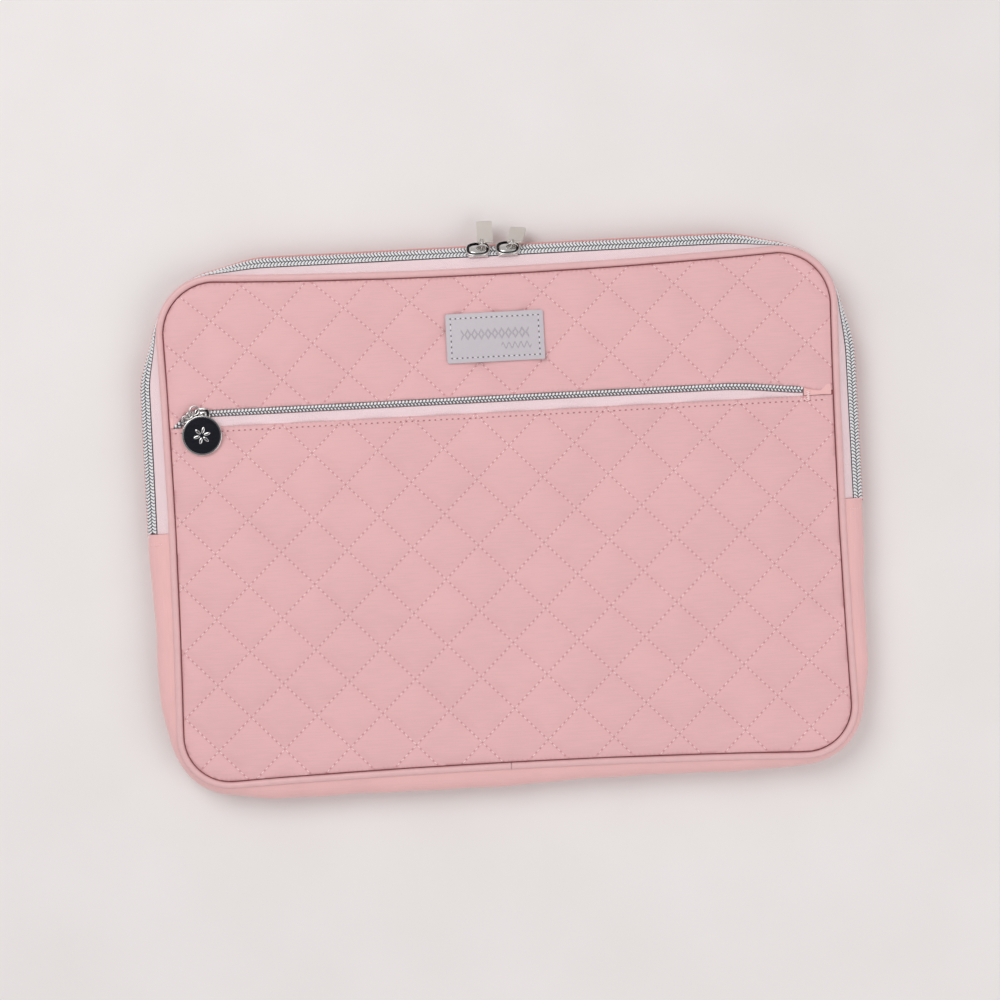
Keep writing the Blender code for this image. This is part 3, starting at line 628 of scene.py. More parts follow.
def relax(piece, pins, limit, frames=14, looseness=0.03, push=3.0):
    """Cloth simulation between fixed seams, at a hundred times the size, where the solver's forces suit."""
    enlarged = 100.0
    count = len(piece.data.vertices)
    before = np.zeros(count * 3)
    piece.data.vertices.foreach_get("co", before)
    piece.data.transform(Matrix.Scale(enlarged, 4))
    held = piece.vertex_groups.new(name="held")
    held.add(pins, 1.0, "REPLACE")
    cloth_modifier = piece.modifiers.new("relax", "CLOTH")
    settings = cloth_modifier.settings
    settings.quality = 4
    settings.mass = 0.3
    settings.tension_stiffness = settings.compression_stiffness = 25.0
    settings.shear_stiffness = 8.0
    settings.bending_stiffness = 1.5
    settings.air_damping = 4.0
    settings.shrink_min = -looseness
    settings.use_pressure = True
    settings.uniform_pressure_force = push
    settings.vertex_group_mass = "held"
    settings.effector_weights.gravity = 0.0
    cloth_modifier.collision_settings.use_collision = False
    for number in range(1, frames + 1):
        scene.frame_set(number)
    settled = piece.evaluated_get(bpy.context.evaluated_depsgraph_get()).to_mesh()
    after = np.zeros(count * 3)
    settled.vertices.foreach_get("co", after)
    piece.evaluated_get(bpy.context.evaluated_depsgraph_get()).to_mesh_clear()
    piece.modifiers.remove(cloth_modifier)
    piece.vertex_groups.remove(held)
    scene.frame_set(1)
    moved = np.clip(after / enlarged - before, -limit, limit)
    piece.data.vertices.foreach_set("co", before + moved)
    piece.data.update()
    return float(np.abs(moved.reshape(-1, 3)[:, 2]).max())


# %% [markdown]
# ### Painted seam shade
# Along each seam the groove and the needle holes lie in shade, and that shade is painted into the nylon's colour,
# darkest at the hole between each two stitches. The panels' UV maps count diamonds along both seam directions, so
# the painted shade is where a coordinate is near a whole number.

# %% Painted seam shade group and the quilted finish
STITCHES = 8                        # to the side of a diamond
seam_shade, given, result = group("Painted seam shade", {"Stitches": STITCHES}, ["Shade"])
split = node(seam_shade, "ShaderNodeSeparateXYZ", Vector=given["Vector"])


def seam_shade_row(across, along):
    off = calc(seam_shade, "PINGPONG", across, 0.5)
    near = node(seam_shade, "ShaderNodeMapRange", {"interpolation_type": "SMOOTHSTEP"}, Value=off, From_Min=0.008,
                From_Max=0.032, To_Min=1.0, To_Max=0.0)
    turns = calc(seam_shade, "MULTIPLY", calc(seam_shade, "MULTIPLY", along, math.tau), given["Stitches"])
    wave = calc(seam_shade, "COSINE", turns)
    hole = calc(seam_shade, "POWER", calc(seam_shade, "MULTIPLY_ADD", wave, 0.5, clamp=True), 3.0)
    return calc(seam_shade, "MULTIPLY", near.outputs[0], calc(seam_shade, "MAXIMUM", hole, 0.30))


rows = [seam_shade_row(split.outputs[0], split.outputs[1]), seam_shade_row(split.outputs[1], split.outputs[0])]
seam_shade.links.new(calc(seam_shade, "MAXIMUM", rows[0], rows[1]), result["Shade"])

shader = nylon.node_tree.nodes["Principled BSDF"]
dyed = shader.inputs["Base Color"].links[0].from_socket
sewn = node(nylon.node_tree, "ShaderNodeGroup", {"node_tree": seam_shade}, Vector=surface_point(nylon.node_tree, True),
            Stitches=float(STITCHES))
# Painted shade: near the seams the nylon's colour is multiplied by a darker rose.
shaded = node(nylon.node_tree, "ShaderNodeMix", {"data_type": "RGBA", "blend_type": "MULTIPLY"},
              i0=sewn.outputs["Shade"], i6=dyed)
shaded.inputs[7].default_value = (0.74, 0.56, 0.59, 1.0)
nylon.node_tree.links.new(shaded.outputs[2], shader.inputs["Base Color"])
print("quilted finish has", len(nylon.node_tree.nodes), "nodes")

# %% [markdown]
# ### The panels
# A panel's height is lowest at its edge seam, where piping and panel are sewn together, and along the quilting.
# The upper panel's free edge comes down at both ends of the pocket zip to cover them. The back panel is the same
# cloth facing down, pressed flat where it lies on the table.

# %% Panels
EDGE_Z = PANEL_Z + 0.05 * MM
EDGE_ROLL = 2.6 * MM                # over which the panel rolls down into its edge seam
SHEET = 0.45 * MM
BACK_SQUASH = 0.55                  # how much lower the back's pillows are


def quilt_blank(stretch, cells, low, high, drooping):
    """The flat grid of a panel between two heights, cut on the sewing lines themselves."""
    reach = math.ceil((SEAM_X + SEAM_Y) / QUILT + 2)
    bm = bmesh.new()
    bmesh.ops.create_grid(bm, x_segments=2 * reach * cells, y_segments=2 * reach * cells, size=reach)
    places = laid_flat(*sewing_points(*flat_places(bm), stretch), drooping)
    for vert, x, y in zip(bm.verts, *places):
        vert.co = (x, y, 0)
    bmesh.ops.reverse_faces(bm, faces=bm.faces)
    trim(bm, [((0, high, 0), (0, 1, 0)), ((0, low, 0), (0, -1, 0))] + outline_planes(GAP))
    bmesh.ops.remove_doubles(bm, verts=bm.verts, dist=0.22 * MM)
    bmesh.ops.dissolve_degenerate(bm, edges=bm.edges, dist=1e-5)
    return bm


def quilted_panel(name, stretch, cells, low, high, free_edge=None, facing=1, drooping=False):
    bm = quilt_blank(stretch, cells, low, high, drooping)
    flat = flat_places(bm)
    x, y = drawn_in(*flat, drooping)
    p, q = sewing_lines(x, y, stretch)
    inside = edge_distance(*flat)
    lift = pillow(p, q) * smoothstep(inside, 0, 2.2 * EDGE_ROLL)
    if free_edge is not None:
        near = 1 - smoothstep(np.abs(flat[1] - free_edge), 0, 3.5 * MM)
        lift = mix(lift, np.maximum(lift, 0.4), near)
    height = mix(EDGE_Z, GROOVE + PUFF * lift, smoothstep(inside, 0, EDGE_ROLL))
    if facing < 0:
        height = (GROOVE + PUFF - height) * BACK_SQUASH
        bmesh.ops.reverse_faces(bm, faces=bm.faces)
    sewn = np.minimum(np.abs(p - np.round(p)), np.abs(q - np.round(q))) < 0.01
    uv = bm.loops.layers.uv.new("UVMap")
    pins = []
    for k, vert in enumerate(bm.verts):
        vert.co = (x[k], y[k], height[k])
        if vert.is_boundary or sewn[k]:
            pins.append(k)
        for loop in vert.link_loops:
            loop[uv].uv = (p[k], q[k])
    piece = object_from(name, bm, nylon, smooth_angle=70)
    moved = relax(piece, pins, 0.45 * MM, looseness=0.012, push=0.12)
    for vert in piece.data.vertices:
        px, py, pz = vert.co
        if facing < 0:
            vert.co.z = max(pz, 0.0)
        elif any(a.x - MM < px < b.x + MM and a.y - MM < py < b.y + MM for a, b in PRESSED):
            vert.co.z = min(pz, TOTAL + 0.1 * MM)
    wall = piece.modifiers.new("nylon and wadding", "SOLIDIFY")
    wall.thickness = SHEET
    wall.offset = -1.0
    print(f"{name}: {len(piece.data.vertices)} vertices, settled by {moved / MM:.2f} mm")
    return piece


PRESSED = [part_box("label_patch"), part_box("charm_disc")]   # these lie on the quilting
upper_quilt = quilted_panel("upper_quilt", UPPER_STRETCH, 14, UPPER_EDGE, SEAM_Y, UPPER_EDGE, drooping=True)
dress(upper_quilt, "front_flap", "quilted_nylon", "upper_panel")
pocket_quilt = quilted_panel("pocket_quilt", LOWER_STRETCH, 14, -SEAM_Y, POCKET_EDGE, POCKET_EDGE)
dress_over_fold(pocket_quilt, "quilted_nylon", "pocket_panel_flap", "pocket_panel_base")
back_quilt = quilted_panel("back_quilt", BACK_STRETCH, 12, -SEAM_Y, SEAM_Y, facing=-1)
dress(back_quilt, "back_shell", "quilted_nylon", "back_panel")

# %% [markdown]
# ### Stitches
# The thread shows as short dashes, slightly raised, with the needle holes between them. No two stitches lie quite
# the same, so each gets a small turn and a small change of length from a seeded generator.

# %% Quilting stitches
rng = np.random.default_rng(7)
STITCH = bead(1.0, 1.0, 1.0, segments=6, rings=4)


def stitch_at(point, heading, length, width=0.50 * MM, height=0.32 * MM, up=(0, 0, 1), wobble=6):
    """The matrix of one stitch whose middle is point and which runs along heading."""
    up = Vector(up)
    direction = (Matrix.Rotation(math.radians(rng.normal(0, wobble)), 3, up) @ Vector(heading)).normalized()
    side = up.cross(direction)
    length *= 1 + rng.normal(0, 0.10)
    return axes_matrix(point, direction * length, side * width, up * height)


def surface_height(piece, x, y, facing=1):
    """The height of a piece at x, y, seen from above or from below, or None beside it."""
    hit, place, _, _ = piece.ray_cast(Vector((x, y, facing)), Vector((0, 0, -facing)))
    return place.z if hit else None


def quilting(piece, stretch, low, high, facing=1, drooping=False):
    """A matrix for each stitch of both sets of diagonals of a panel."""
    reach = math.ceil((SEAM_X + SEAM_Y) / QUILT + 1)
    line, k = np.meshgrid(np.arange(-reach, reach + 1), np.arange(-reach * STITCHES, reach * STITCHES))
    placed = []
    for direction in (1, -1):
        start, end = (sewing_points(*(line, (k + ahead) / STITCHES)[::direction], stretch) for ahead in (0, 1))
        x, y = (start[0] + end[0]) / 2, (start[1] + end[1]) / 2
        flat = laid_flat(x, y, drooping)
        shown = (low + MM < flat[1]) & (flat[1] < high - MM) & (edge_distance(*flat) > 1.3 * MM)
        for x0, y0, x1, y1 in zip(*(v[shown] for v in (*start, *end))):
            run = Vector((x1 - x0, y1 - y0, 0))
            middle = Vector(((x0 + x1) / 2, (y0 + y1) / 2, 0))
            level = surface_height(piece, middle.x, middle.y, facing)
            if level is not None:
                middle.z = level + STITCH_RISE * facing
                placed.append(stitch_at(middle, run.normalized(), run.length * 0.62, up=(0, 0, facing)))
    return placed


STITCH_RISE = 0.10 * MM
bpy.context.view_layer.update()
upper_stitches = copies("upper_quilting", STITCH,
                        quilting(upper_quilt, UPPER_STRETCH, UPPER_EDGE, SEAM_Y, drooping=True), thread)
dress(upper_stitches, "front_flap", "quilted_nylon")
pocket_stitches = copies("pocket_quilting", STITCH, quilting(pocket_quilt, LOWER_STRETCH, -SEAM_Y, POCKET_EDGE), thread)
dress_over_fold(pocket_stitches, "quilted_nylon")
back_stitches = copies("back_quilting", STITCH, quilting(back_quilt, BACK_STRETCH, -SEAM_Y, SEAM_Y, facing=-1), thread)
dress(back_stitches, "back_shell", "quilted_nylon")
print("quilting:", [len(o.data.polygons) for o in (upper_stitches, pocket_stitches, back_stitches)], "faces")

print("diamonds of", round(QUILT / MM, 1), "mm with pillows of", round(PUFF / MM, 2), "mm")

# %% [markdown]
# ## Piping
# A cord wrapped in smooth synthetic leather is caught in each edge seam. The front one is a single length whose two
# ends meet near the middle of the bottom edge, which leaves a fine line across it. Pulling the leather round the
# cord leaves it very slightly uneven.

# %% Piping
PIPING_JOIN = S_LEFT + S_TOP - 3 * MM
PIPING_SIDES = 14


def ripple(s, size, *lengths):
    """A slow unevenness along the seam, made of a few waves."""
    return size * sum(np.sin(s / length + 7 * k) for k, length in enumerate(lengths)) / len(lengths)


def round_section(out, height, radius, sides=PIPING_SIDES):
    turns = [math.tau * (k + 0.5) / sides for k in range(sides)]
    return [(out + radius * math.cos(a), height + radius * math.sin(a)) for a in turns]


def front_piping_section(seam):
    return round_section(PIPING_OUT - seam.pinch + ripple(seam.s, 0.10 * MM, 0.009, 0.013, 0.031), FRONT_PIPING_Z,
                         PIPING_R + ripple(seam.s, 0.04 * MM, 0.004, 0.0061))


BACK_PIPING_SHOWN = 1.5 * MM        # the soft back edge lets its piping out past the zip along the top


def back_piping_section(seam):
    shown = BACK_PIPING_SHOWN * smoothstep(seam.y, 0, 90 * MM)
    return round_section(PIPING_OUT + shown + ripple(seam.s, 0.10 * MM, 0.010, 0.017), BACK_PIPING_Z,
                         PIPING_R + ripple(seam.s, 0.04 * MM, 0.005, 0.0073))


JOIN_GAP = 0.12 * MM


def once_round(step):
    """The whole seam from one side of the join to the other."""
    return seam_between(PIPING_JOIN + JOIN_GAP, PIPING_JOIN + PERIMETER - JOIN_GAP, step)


front_piping = strip("front_piping", once_round(2 * MM), front_piping_section, piping_skin)
dress_over_fold(front_piping, "piping", "flap_piping", "base_piping")


def flange_section(seam):
    """The piping's flat flange, which is what shows between panel and cord, in a dark cloth that paints the gap's
    shade.
    """
    out = -seam.pinch
    low, high = FRONT_PIPING_Z - 0.75 * MM, FRONT_PIPING_Z - 0.3 * MM
    return [(out - 1.0 * MM, low), (out + 0.9 * MM, low), (out + 0.9 * MM, high), (out - 1.0 * MM, high)]


front_flange = strip("front_piping_flange", once_round(3 * MM), flange_section, seam_shade_cloth)
dress_over_fold(front_flange, "piping")
back_piping = strip("back_piping_cord", once_round(2.5 * MM), back_piping_section, back_piping_painted_shade)
dress(back_piping, "back_shell", "piping", "back_piping")
print("piping:", len(front_piping.data.polygons), "+", len(back_piping.data.polygons), "faces")

# %% [markdown]
# ## Linings, foam and seam binding
# Inside, each half is a soft foam sheet behind a thin satin lining, and a woven tape covers the raw edge of the seam.
# Even stretched satin is never quite flat, so the linings wave by a hair. The front's sheets run on across the fold.

# %% Inner layers
LAYER_CELL = 7 * MM


def layer(name, low_z, high_z, inset, material, wave=0.0):
    """A soft flat sheet inside the seam: a grid trimmed to the outline and given its thickness."""
    bm = bmesh.new()
    bmesh.ops.create_grid(bm, x_segments=round(2 * SEAM_X / LAYER_CELL), y_segments=round(2 * SEAM_Y / LAYER_CELL),
                          size=1.0)
    bmesh.ops.scale(bm, vec=(SEAM_X, SEAM_Y, 1), verts=bm.verts)
    trim(bm, outline_planes(inset))
    bmesh.ops.remove_doubles(bm, verts=bm.verts, dist=0.4 * MM)
    for vert in bm.verts:
        x, y = vert.co.x, vert.co.y
        loose = float(smoothstep(edge_distance(x, y), 2 * MM, 14 * MM))
        bump = math.sin(x / 0.021 + 2 * math.sin(y / 0.05)) * math.sin(y / 0.027 + math.sin(x / 0.04))
        vert.co.z = low_z + wave * loose * bump
        vert.co.x, vert.co.y = drawn_in(x, y)
    piece = object_from(name, bm, material)
    wall = piece.modifiers.new("thickness", "SOLIDIFY")
    wall.thickness = high_z - low_z
    wall.offset = 1.0
    rounded = piece.modifiers.new("soft edge", "BEVEL")
    rounded.width = (high_z - low_z) * 0.3
    rounded.segments = 2
    rounded.angle_limit = math.radians(60)
    return piece


def layer_like(name, node_name, inset, material, wave=0.0):
    low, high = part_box(node_name)
    return layer(name, low.z, high.z, inset, material, wave)


front_lining = layer_like("front_lining", "flap_lining", 1.0 * MM, lining_cloth, -0.12 * MM)
dress_over_fold(front_lining, "lining", "flap_lining", "base_lining")
front_foam = layer_like("front_foam", "flap_foam", 1.3 * MM, foam_skin)
dress_over_fold(front_foam, "foam", "flap_foam", "base_foam")
pocket_back = layer_like("pocket_lining", "flap_pocket_lining", 1.3 * MM, lining_cloth)
dress_over_fold(pocket_back, "lining", "flap_pocket_lining", "base_pocket_lining")
back_lining = layer_like("back_lining_sheet", "back_lining", 1.0 * MM, lining_cloth, 0.12 * MM)
dress(back_lining, "back_shell", "lining", "back_lining")
back_foam = layer_like("back_foam_sheet", "back_foam", 1.3 * MM, foam_skin)
dress(back_foam, "back_shell", "foam", "back_foam")

# %% [markdown]
# ### Seam binding
# A woven tape is folded over the raw edges inside each half. Its section is a flat bar with its four corners cut.

# %% Seam binding
BINDING_WIDTH = 2.8 * MM
BINDING_HEIGHT = 1.2 * MM


def binding_section(low_z, drawn):
    def section(seam):
        out = -0.6 * MM - (seam.pinch if drawn else 0.0)
        corner = 0.35 * MM
        low, high = low_z, low_z + BINDING_HEIGHT
        return [(out, low + corner), (out, high - corner), (out - corner, high), (out - BINDING_WIDTH + corner, high),
                (out - BINDING_WIDTH, high - corner), (out - BINDING_WIDTH, low + corner),
                (out - BINDING_WIDTH + corner, low), (out - corner, low)]
    return section


whole = seam_between(0, PERIMETER, 3 * MM)
closed_whole = Seam(whole.s[:-1])
front_binding = strip("front_binding", closed_whole, binding_section(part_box("flap_binding")[0].z, True), binding_cloth,
                      closed=True)
dress_over_fold(front_binding, "binding", "flap_binding", "base_binding")
back_binding = strip("back_binding_tape", closed_whole, binding_section(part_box("back_binding")[0].z, False),
                     binding_cloth, closed=True)
dress(back_binding, "back_shell", "binding", "back_binding")
print("inner layers and binding done")

# %% [markdown]
# ## Gusset and zip tapes
# Below the zip's ends a plain strip of nylon closes the edge. It bows out softly and has small puckers where the two
# seams pull on it. Above, two knitted tapes carry the zip: the front one shows as a pale band beside the piping, and
# the back one curls over the far edge in a darker salmon cloth, painted shade for that edge.

# %% Gusset and tapes
CHAIN_OUT, CHAIN_SIDE_OUT = 8.7 * MM, 9.3 * MM  # on the top run and on the sides
CORNER_OUT = 3.8 * MM                           # where the corners draw the zip in
CHAIN_Z, CORNER_Z = 14.5 * MM, 12.6 * MM
CHAIN_TILT, CORNER_TILT = 40, 85
CHAIN_HALF = 3.1 * MM
CHAIN_THICK = 2.2 * MM
SLIT = 0.4 * MM
TAPE = 0.8 * MM
GUSSET_START = FLAP_START - 0.15 * MM
LEFT_MORE, BOTTOM_LESS = 1.7 * MM, 1.9 * MM
END_FLARE = 1.5 * MM                            # the gusset is widest where the zip ends in it
GUSSET_OUT, GUSSET_CORNER_OUT = 10.0 * MM, 6.2 * MM
GUSSET_SHEET = 1.0 * MM
SEAM_OUT = PIPING_OUT + PIPING_R + 0.9 * MM     # where gusset and back tape meet the piping
BACK_SEAM_Z = BACK_PIPING_Z + 1.0 * MM


def lopsided(seam):
    """The sleeve doesn't lie quite true: more of its left edge shows, and less of the bottom edge's right half."""
    left = np.where(seam.nx < 0, seam.nx ** 2, 0.0)
    bottom = np.where(seam.ny < 0, seam.ny ** 2, 0.0) * smoothstep(seam.x, -30 * MM, 50 * MM)
    return (LEFT_MORE * left - BOTTOM_LESS * bottom) * (1 - seam.tight)


def chain_frame(seam):
    """The chain's centre, the direction across it towards the back and its outward normal, each as (out, z)."""
    tilt = np.radians(mix(CHAIN_TILT, CORNER_TILT, seam.tight))
    straight = mix(CHAIN_OUT, CHAIN_SIDE_OUT, seam.nx ** 2) + lopsided(seam)
    centre = mix(straight, CORNER_OUT, seam.tight), mix(CHAIN_Z, CORNER_Z, seam.tight)
    return centre, (np.cos(tilt), -np.sin(tilt)), (np.sin(tilt), np.cos(tilt))


def on_chain(seam, a, n):
    return tuple(c + a * u + n * v for c, u, v in zip(*chain_frame(seam)))


def ribbon(seam, points, thickness):
    """A closed section round a bent line, half the thickness on each side."""
    line = [np.array([np.broadcast_to(v, seam.x.shape) for v in point]) for point in points]
    left, right = [], []
    for k, point in enumerate(line):
        step = line[min(k + 1, len(line) - 1)] - line[max(k - 1, 0)]
        step = step / np.linalg.norm(step, axis=0)
        normal = np.array([-step[1], step[0]]) * thickness / 2
        left.append(tuple(point + normal))
        right.append(tuple(point - normal))
    return left + right[::-1]


def bow(p0, p1, p2, steps):
    """Points along a parabola from p0 to p2, pulled towards p1."""
    return [tuple(mix(mix(a, b, t), mix(b, c, t), t) for a, b, c in zip(p0, p1, p2))
            for t in (k / steps for k in range(steps + 1))]


def gusset_section(seam):
    creases = ripple(seam.s, 0.35 * MM, 0.0047, 0.0083, 0.019)
    flare = END_FLARE * smoothstep(seam.y, -45 * MM, -5 * MM) + lopsided(seam)
    out = mix(GUSSET_OUT, GUSSET_CORNER_OUT, seam.tight) + creases + flare
    top = (SEAM_OUT - 1.2 * MM - seam.pinch, FRONT_PIPING_Z - 0.2 * MM)
    bottom = (SEAM_OUT, BACK_SEAM_Z)
    middle = (top[1] + bottom[1]) / 2 + 2 * creases
    return ribbon(seam, bow(top, (out, mix(top[1], middle, 0.35)), (out, middle), 6)
                  + bow((out, middle), (out, mix(bottom[1], middle, 0.35)), bottom, 6)[1:], GUSSET_SHEET)


def front_tape_section(seam):
    start = (PIPING_OUT + PIPING_R - 0.3 * MM - seam.pinch, FRONT_PIPING_Z - mix(0.5 * MM, 1.6 * MM, seam.tight))
    end = on_chain(seam, -CHAIN_HALF - 0.4 * MM, -0.3 * MM)
    sag = tuple((a + b) / 2 + ripple(seam.s, 0.12 * MM, 0.008, 0.015) for a, b in zip(start, end))
    return ribbon(seam, bow(start, sag, end, 4), TAPE)


def back_tape_section(seam):
    start = on_chain(seam, CHAIN_HALF + 0.4 * MM, -0.3 * MM)
    bend = (mix(13.5 * MM + 1.2 * MM * seam.ny ** 2, 6.2 * MM, seam.tight) + lopsided(seam),
            mix(6.2 * MM, 6.0 * MM, seam.tight))
    return ribbon(seam, bow(start, bend, (SEAM_OUT, BACK_SEAM_Z), 9), TAPE)


gusset = strip("gusset", seam_between(S_LEFT - GUSSET_START, PERIMETER + GUSSET_START, 1.6 * MM), gusset_section,
               plain_nylon)
dress_over_fold(gusset, "plain_nylon", "base_gusset")
front_tape = strip("front_tape_knit", seam_between(FLAP_START, S_LEFT - FLAP_START, 2 * MM), front_tape_section,
                   tape_knit)
dress_over_fold(front_tape, "zip_tape", "front_tape")
HINGE_Y = -1.0 * MM
# Painted shade: the back tape's darker cloth stands in for the shade where it curls over the far edge.
back_tape = strip("back_tape_painted_shade", seam_between(HINGE_Y, S_LEFT - HINGE_Y, 2 * MM), back_tape_section, edge_cloth_painted_shade)
dress(back_tape, "back_shell", "zip_tape", "back_tape")
print("gusset and tapes:", [len(o.data.polygons) for o in (gusset, front_tape, back_tape)], "faces")

# %% [markdown]
# ## Zip chain
# A coil zip is one spiral of nylon per side, sewn to its tape. From outside each turn shows as a slanting white leg,
# and a chain stitch runs along its outer edge. Between the legs there is only shadow, so a dark strip lies below.

# %% Coil finishes
coil_white = new_finish("zip_coil", 0.32, Base_Color=srgb(240, 241, 243), Coat_Weight=0.15)[0]
# Painted shade: a grey copy of the white coil, for sewing that lies in shade.
coil_painted_shade = new_finish("zip_thread_painted_shade", 0.6, Base_Color=srgb(150, 148, 154))[0]
# Painted shadow: a dark cloth for the strip below the legs, where there is only shade.
coil_shadow = cloth("zip_painted_shadow", srgb(104, 98, 102), 0.5 * MM, roughness=0.85, relief=0.0001, by_uv=True)
COIL_PITCH = 1.7 * MM
COIL_SLANT = 32                     # degrees
LEG = bead(3.35 * MM, 1.16 * MM, 1.3 * MM)
THREAD = bead(1.15 * MM, 0.62 * MM, 0.55 * MM)


def chain_axes(seam):
    """Arrays of the chain's centre and of its directions along, across and outward."""
    (out, z), across, normal = chain_frame(seam)
    flat = np.zeros_like(seam.x)
    along = np.stack([-seam.ny, seam.nx, flat], 1)
    over, up = (np.stack([seam.nx * d[0], seam.ny * d[0], d[1] + flat], 1) for d in (across, normal))
    return np.stack([seam.x + seam.nx * out, seam.y + seam.ny * out, z + flat], 1), along, over, up


def turned(along, over, up, degrees):
    """Axes turned about up by an angle from across towards along, as an array of three columns."""
    c, s = math.cos(math.radians(degrees)), math.sin(math.radians(degrees))
    first = over * c + along * s
    return first, np.cross(up, first), up


def coil_teeth(name, frames, side, half, leg, sewing, slant=COIL_SLANT, sewn_in=None):
    """Slanted legs and their sewing thread for one row, at each of the given frames."""
    centre, along, over, up = frames
    legs, threads = turned(along, over * side, up, slant), turned(along, over * side, up, 82)
    matrices = [axes_matrix(c + side * o * half * 0.47 + u * 0.30 * MM, *axes)
                for c, o, u, *axes in zip(centre, over, up, *legs)]
    piece = copies(name, leg, matrices, coil_white)
    matrices = [axes_matrix(c + side * o * (half - 0.30 * MM) + u * 0.45 * MM, *axes)
                for c, o, u, *axes in zip(centre, over, up, *threads)]
    stitched = copies(name + "_sewing", sewing, matrices, sewn_in or coil_white)
    return piece, stitched


# The strip of painted shadow below one row of legs.
def shadow_strip_section(side, half, low, high, round_by=0.25 * MM):
    def section(seam):
        inner, outer = side * SLIT / 2, side * half
        return [on_chain(seam, inner, low), on_chain(seam, outer, low), on_chain(seam, outer, high - round_by),
                on_chain(seam, outer - side * round_by, high), on_chain(seam, inner, high)]
    return section


# %% [markdown]
# ### The main chain
# Both rows are the same coil. The front one is laid in place with no body and the back one goes with the back shell,
# half a turn apart, so that their legs alternate when the zip is closed.

# %% Main chain
for side, first, node_name in ((-1, FLAP_START, "front_coil"), (1, HINGE_Y, "back_coil")):
    last = S_LEFT - first
    count = round((last - first) / COIL_PITCH)
    frames = chain_axes(Seam(first + (np.arange(count) + 0.5 + 0.25 * side) * (last - first) / count))
    shadow_strip = strip(node_name + "_core", seam_between(first, last, 2 * MM),
                 shadow_strip_section(side, CHAIN_HALF, -CHAIN_THICK / 2, 0.1 * MM), coil_shadow)
    teeth = coil_teeth(node_name + "_teeth", frames, side, CHAIN_HALF, LEG, THREAD)
    for piece, nodes in ((shadow_strip, [node_name]), (teeth[0], []), (teeth[1], [])):
        if side < 0:
            dress_over_fold(piece, "zip_coil", *nodes)
        else:
            dress(piece, "back_shell", "zip_coil", *nodes)
print("main chain:", count, "turns a side")

# %% [markdown]
# ### Zip ends
# At both ends of the zip the gusset's end is folded under, and a short row of stitches through it holds the tapes.

# %% Zip ends
def soft_block(name, size, matrix, material, rounding, segments=3):
    """A block of a given size with rounded edges, placed by a matrix."""
    bm = bmesh.new()
    bmesh.ops.create_cube(bm, size=1.0)
    bmesh.ops.scale(bm, vec=size, verts=bm.verts)
    bmesh.ops.bevel(bm, geom=bm.edges[:], offset=rounding, segments=segments, profile=0.5, affect="EDGES", material=-1)
    bmesh.ops.transform(bm, matrix=matrix, verts=bm.verts)
    bmesh.ops.recalc_face_normals(bm, faces=bm.faces)
    return object_from(name, bm, material)


end_stitches = []
for side, name in ((-1, "left_zip_end"), (1, "right_zip_end")):
    tilt = math.radians(CHAIN_TILT)
    over = Vector((side * math.cos(tilt), 0, -math.sin(tilt)))
    up = Vector((side * math.sin(tilt), 0, math.cos(tilt)))
    low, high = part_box(name)
    reach = SEAM_X + CHAIN_SIDE_OUT + (LEFT_MORE if side < 0 else 0)
    frame_at = Vector((side * reach, (low.y + high.y) / 2, CHAIN_Z)) - over * 1.9 * MM + up * 0.9 * MM
    block = soft_block(name + "_fold", (5.4 * MM, 2.0 * MM, 1.2 * MM),
                       Matrix(axes_matrix(frame_at, over, up.cross(over), up).tolist()), plain_nylon, 0.5 * MM)
    dress_over_fold(block, "plain_nylon", name)
    for k in range(5):
        middle = Vector((side * (reach - (k - 0.5) * 1.3 * MM), (low.y + high.y) / 2, 0))
        middle.z = surface_height(gusset, middle.x, middle.y) + 0.1 * MM
        end_stitches.append(stitch_at(middle, over, 1.0 * MM, up=up))
stitched_ends = copies("zip_end_stitches", STITCH, end_stitches, thread)
dress_over_fold(stitched_ends, "plain_nylon")

# %% [markdown]
# ## Pocket zip
# The pocket's zip is a size smaller. It lies flat in its window, turns down a little at the right where its end is
# sewn in under the upper panel, and its last turns at the left curve down under the charm.

# %% Pocket zip
POCKET_PITCH = 1.75 * MM
POCKET_ZIP_Z = PANEL_Z
LEG_UPPER = bead(1.75 * MM, 1.25 * MM, 0.85 * MM)      # the upper row faces the light, the lower shows its hooks
LEG_LOWER = bead(1.6 * MM, 0.8 * MM, 0.8 * MM)
THREAD_SMALL = bead(1.2 * MM, 0.42 * MM, 0.4 * MM)


# The strip of painted shadow below one row of the pocket coil's legs.
def pocket_shadow_strip(side):
    def section(x):
        middle = POCKET_Y - turned_down(x)
        inner, outer = side * 0.15 * MM, side * (POCKET_HALF - 0.4 * MM)
        low, high = POCKET_ZIP_Z, POCKET_ZIP_Z + 0.75 * MM
        return [(middle + inner, low), (middle + outer, low), (middle + outer, high - 0.2 * MM),
                (middle + outer - side * 0.2 * MM, high), (middle + inner, high)]
    return section


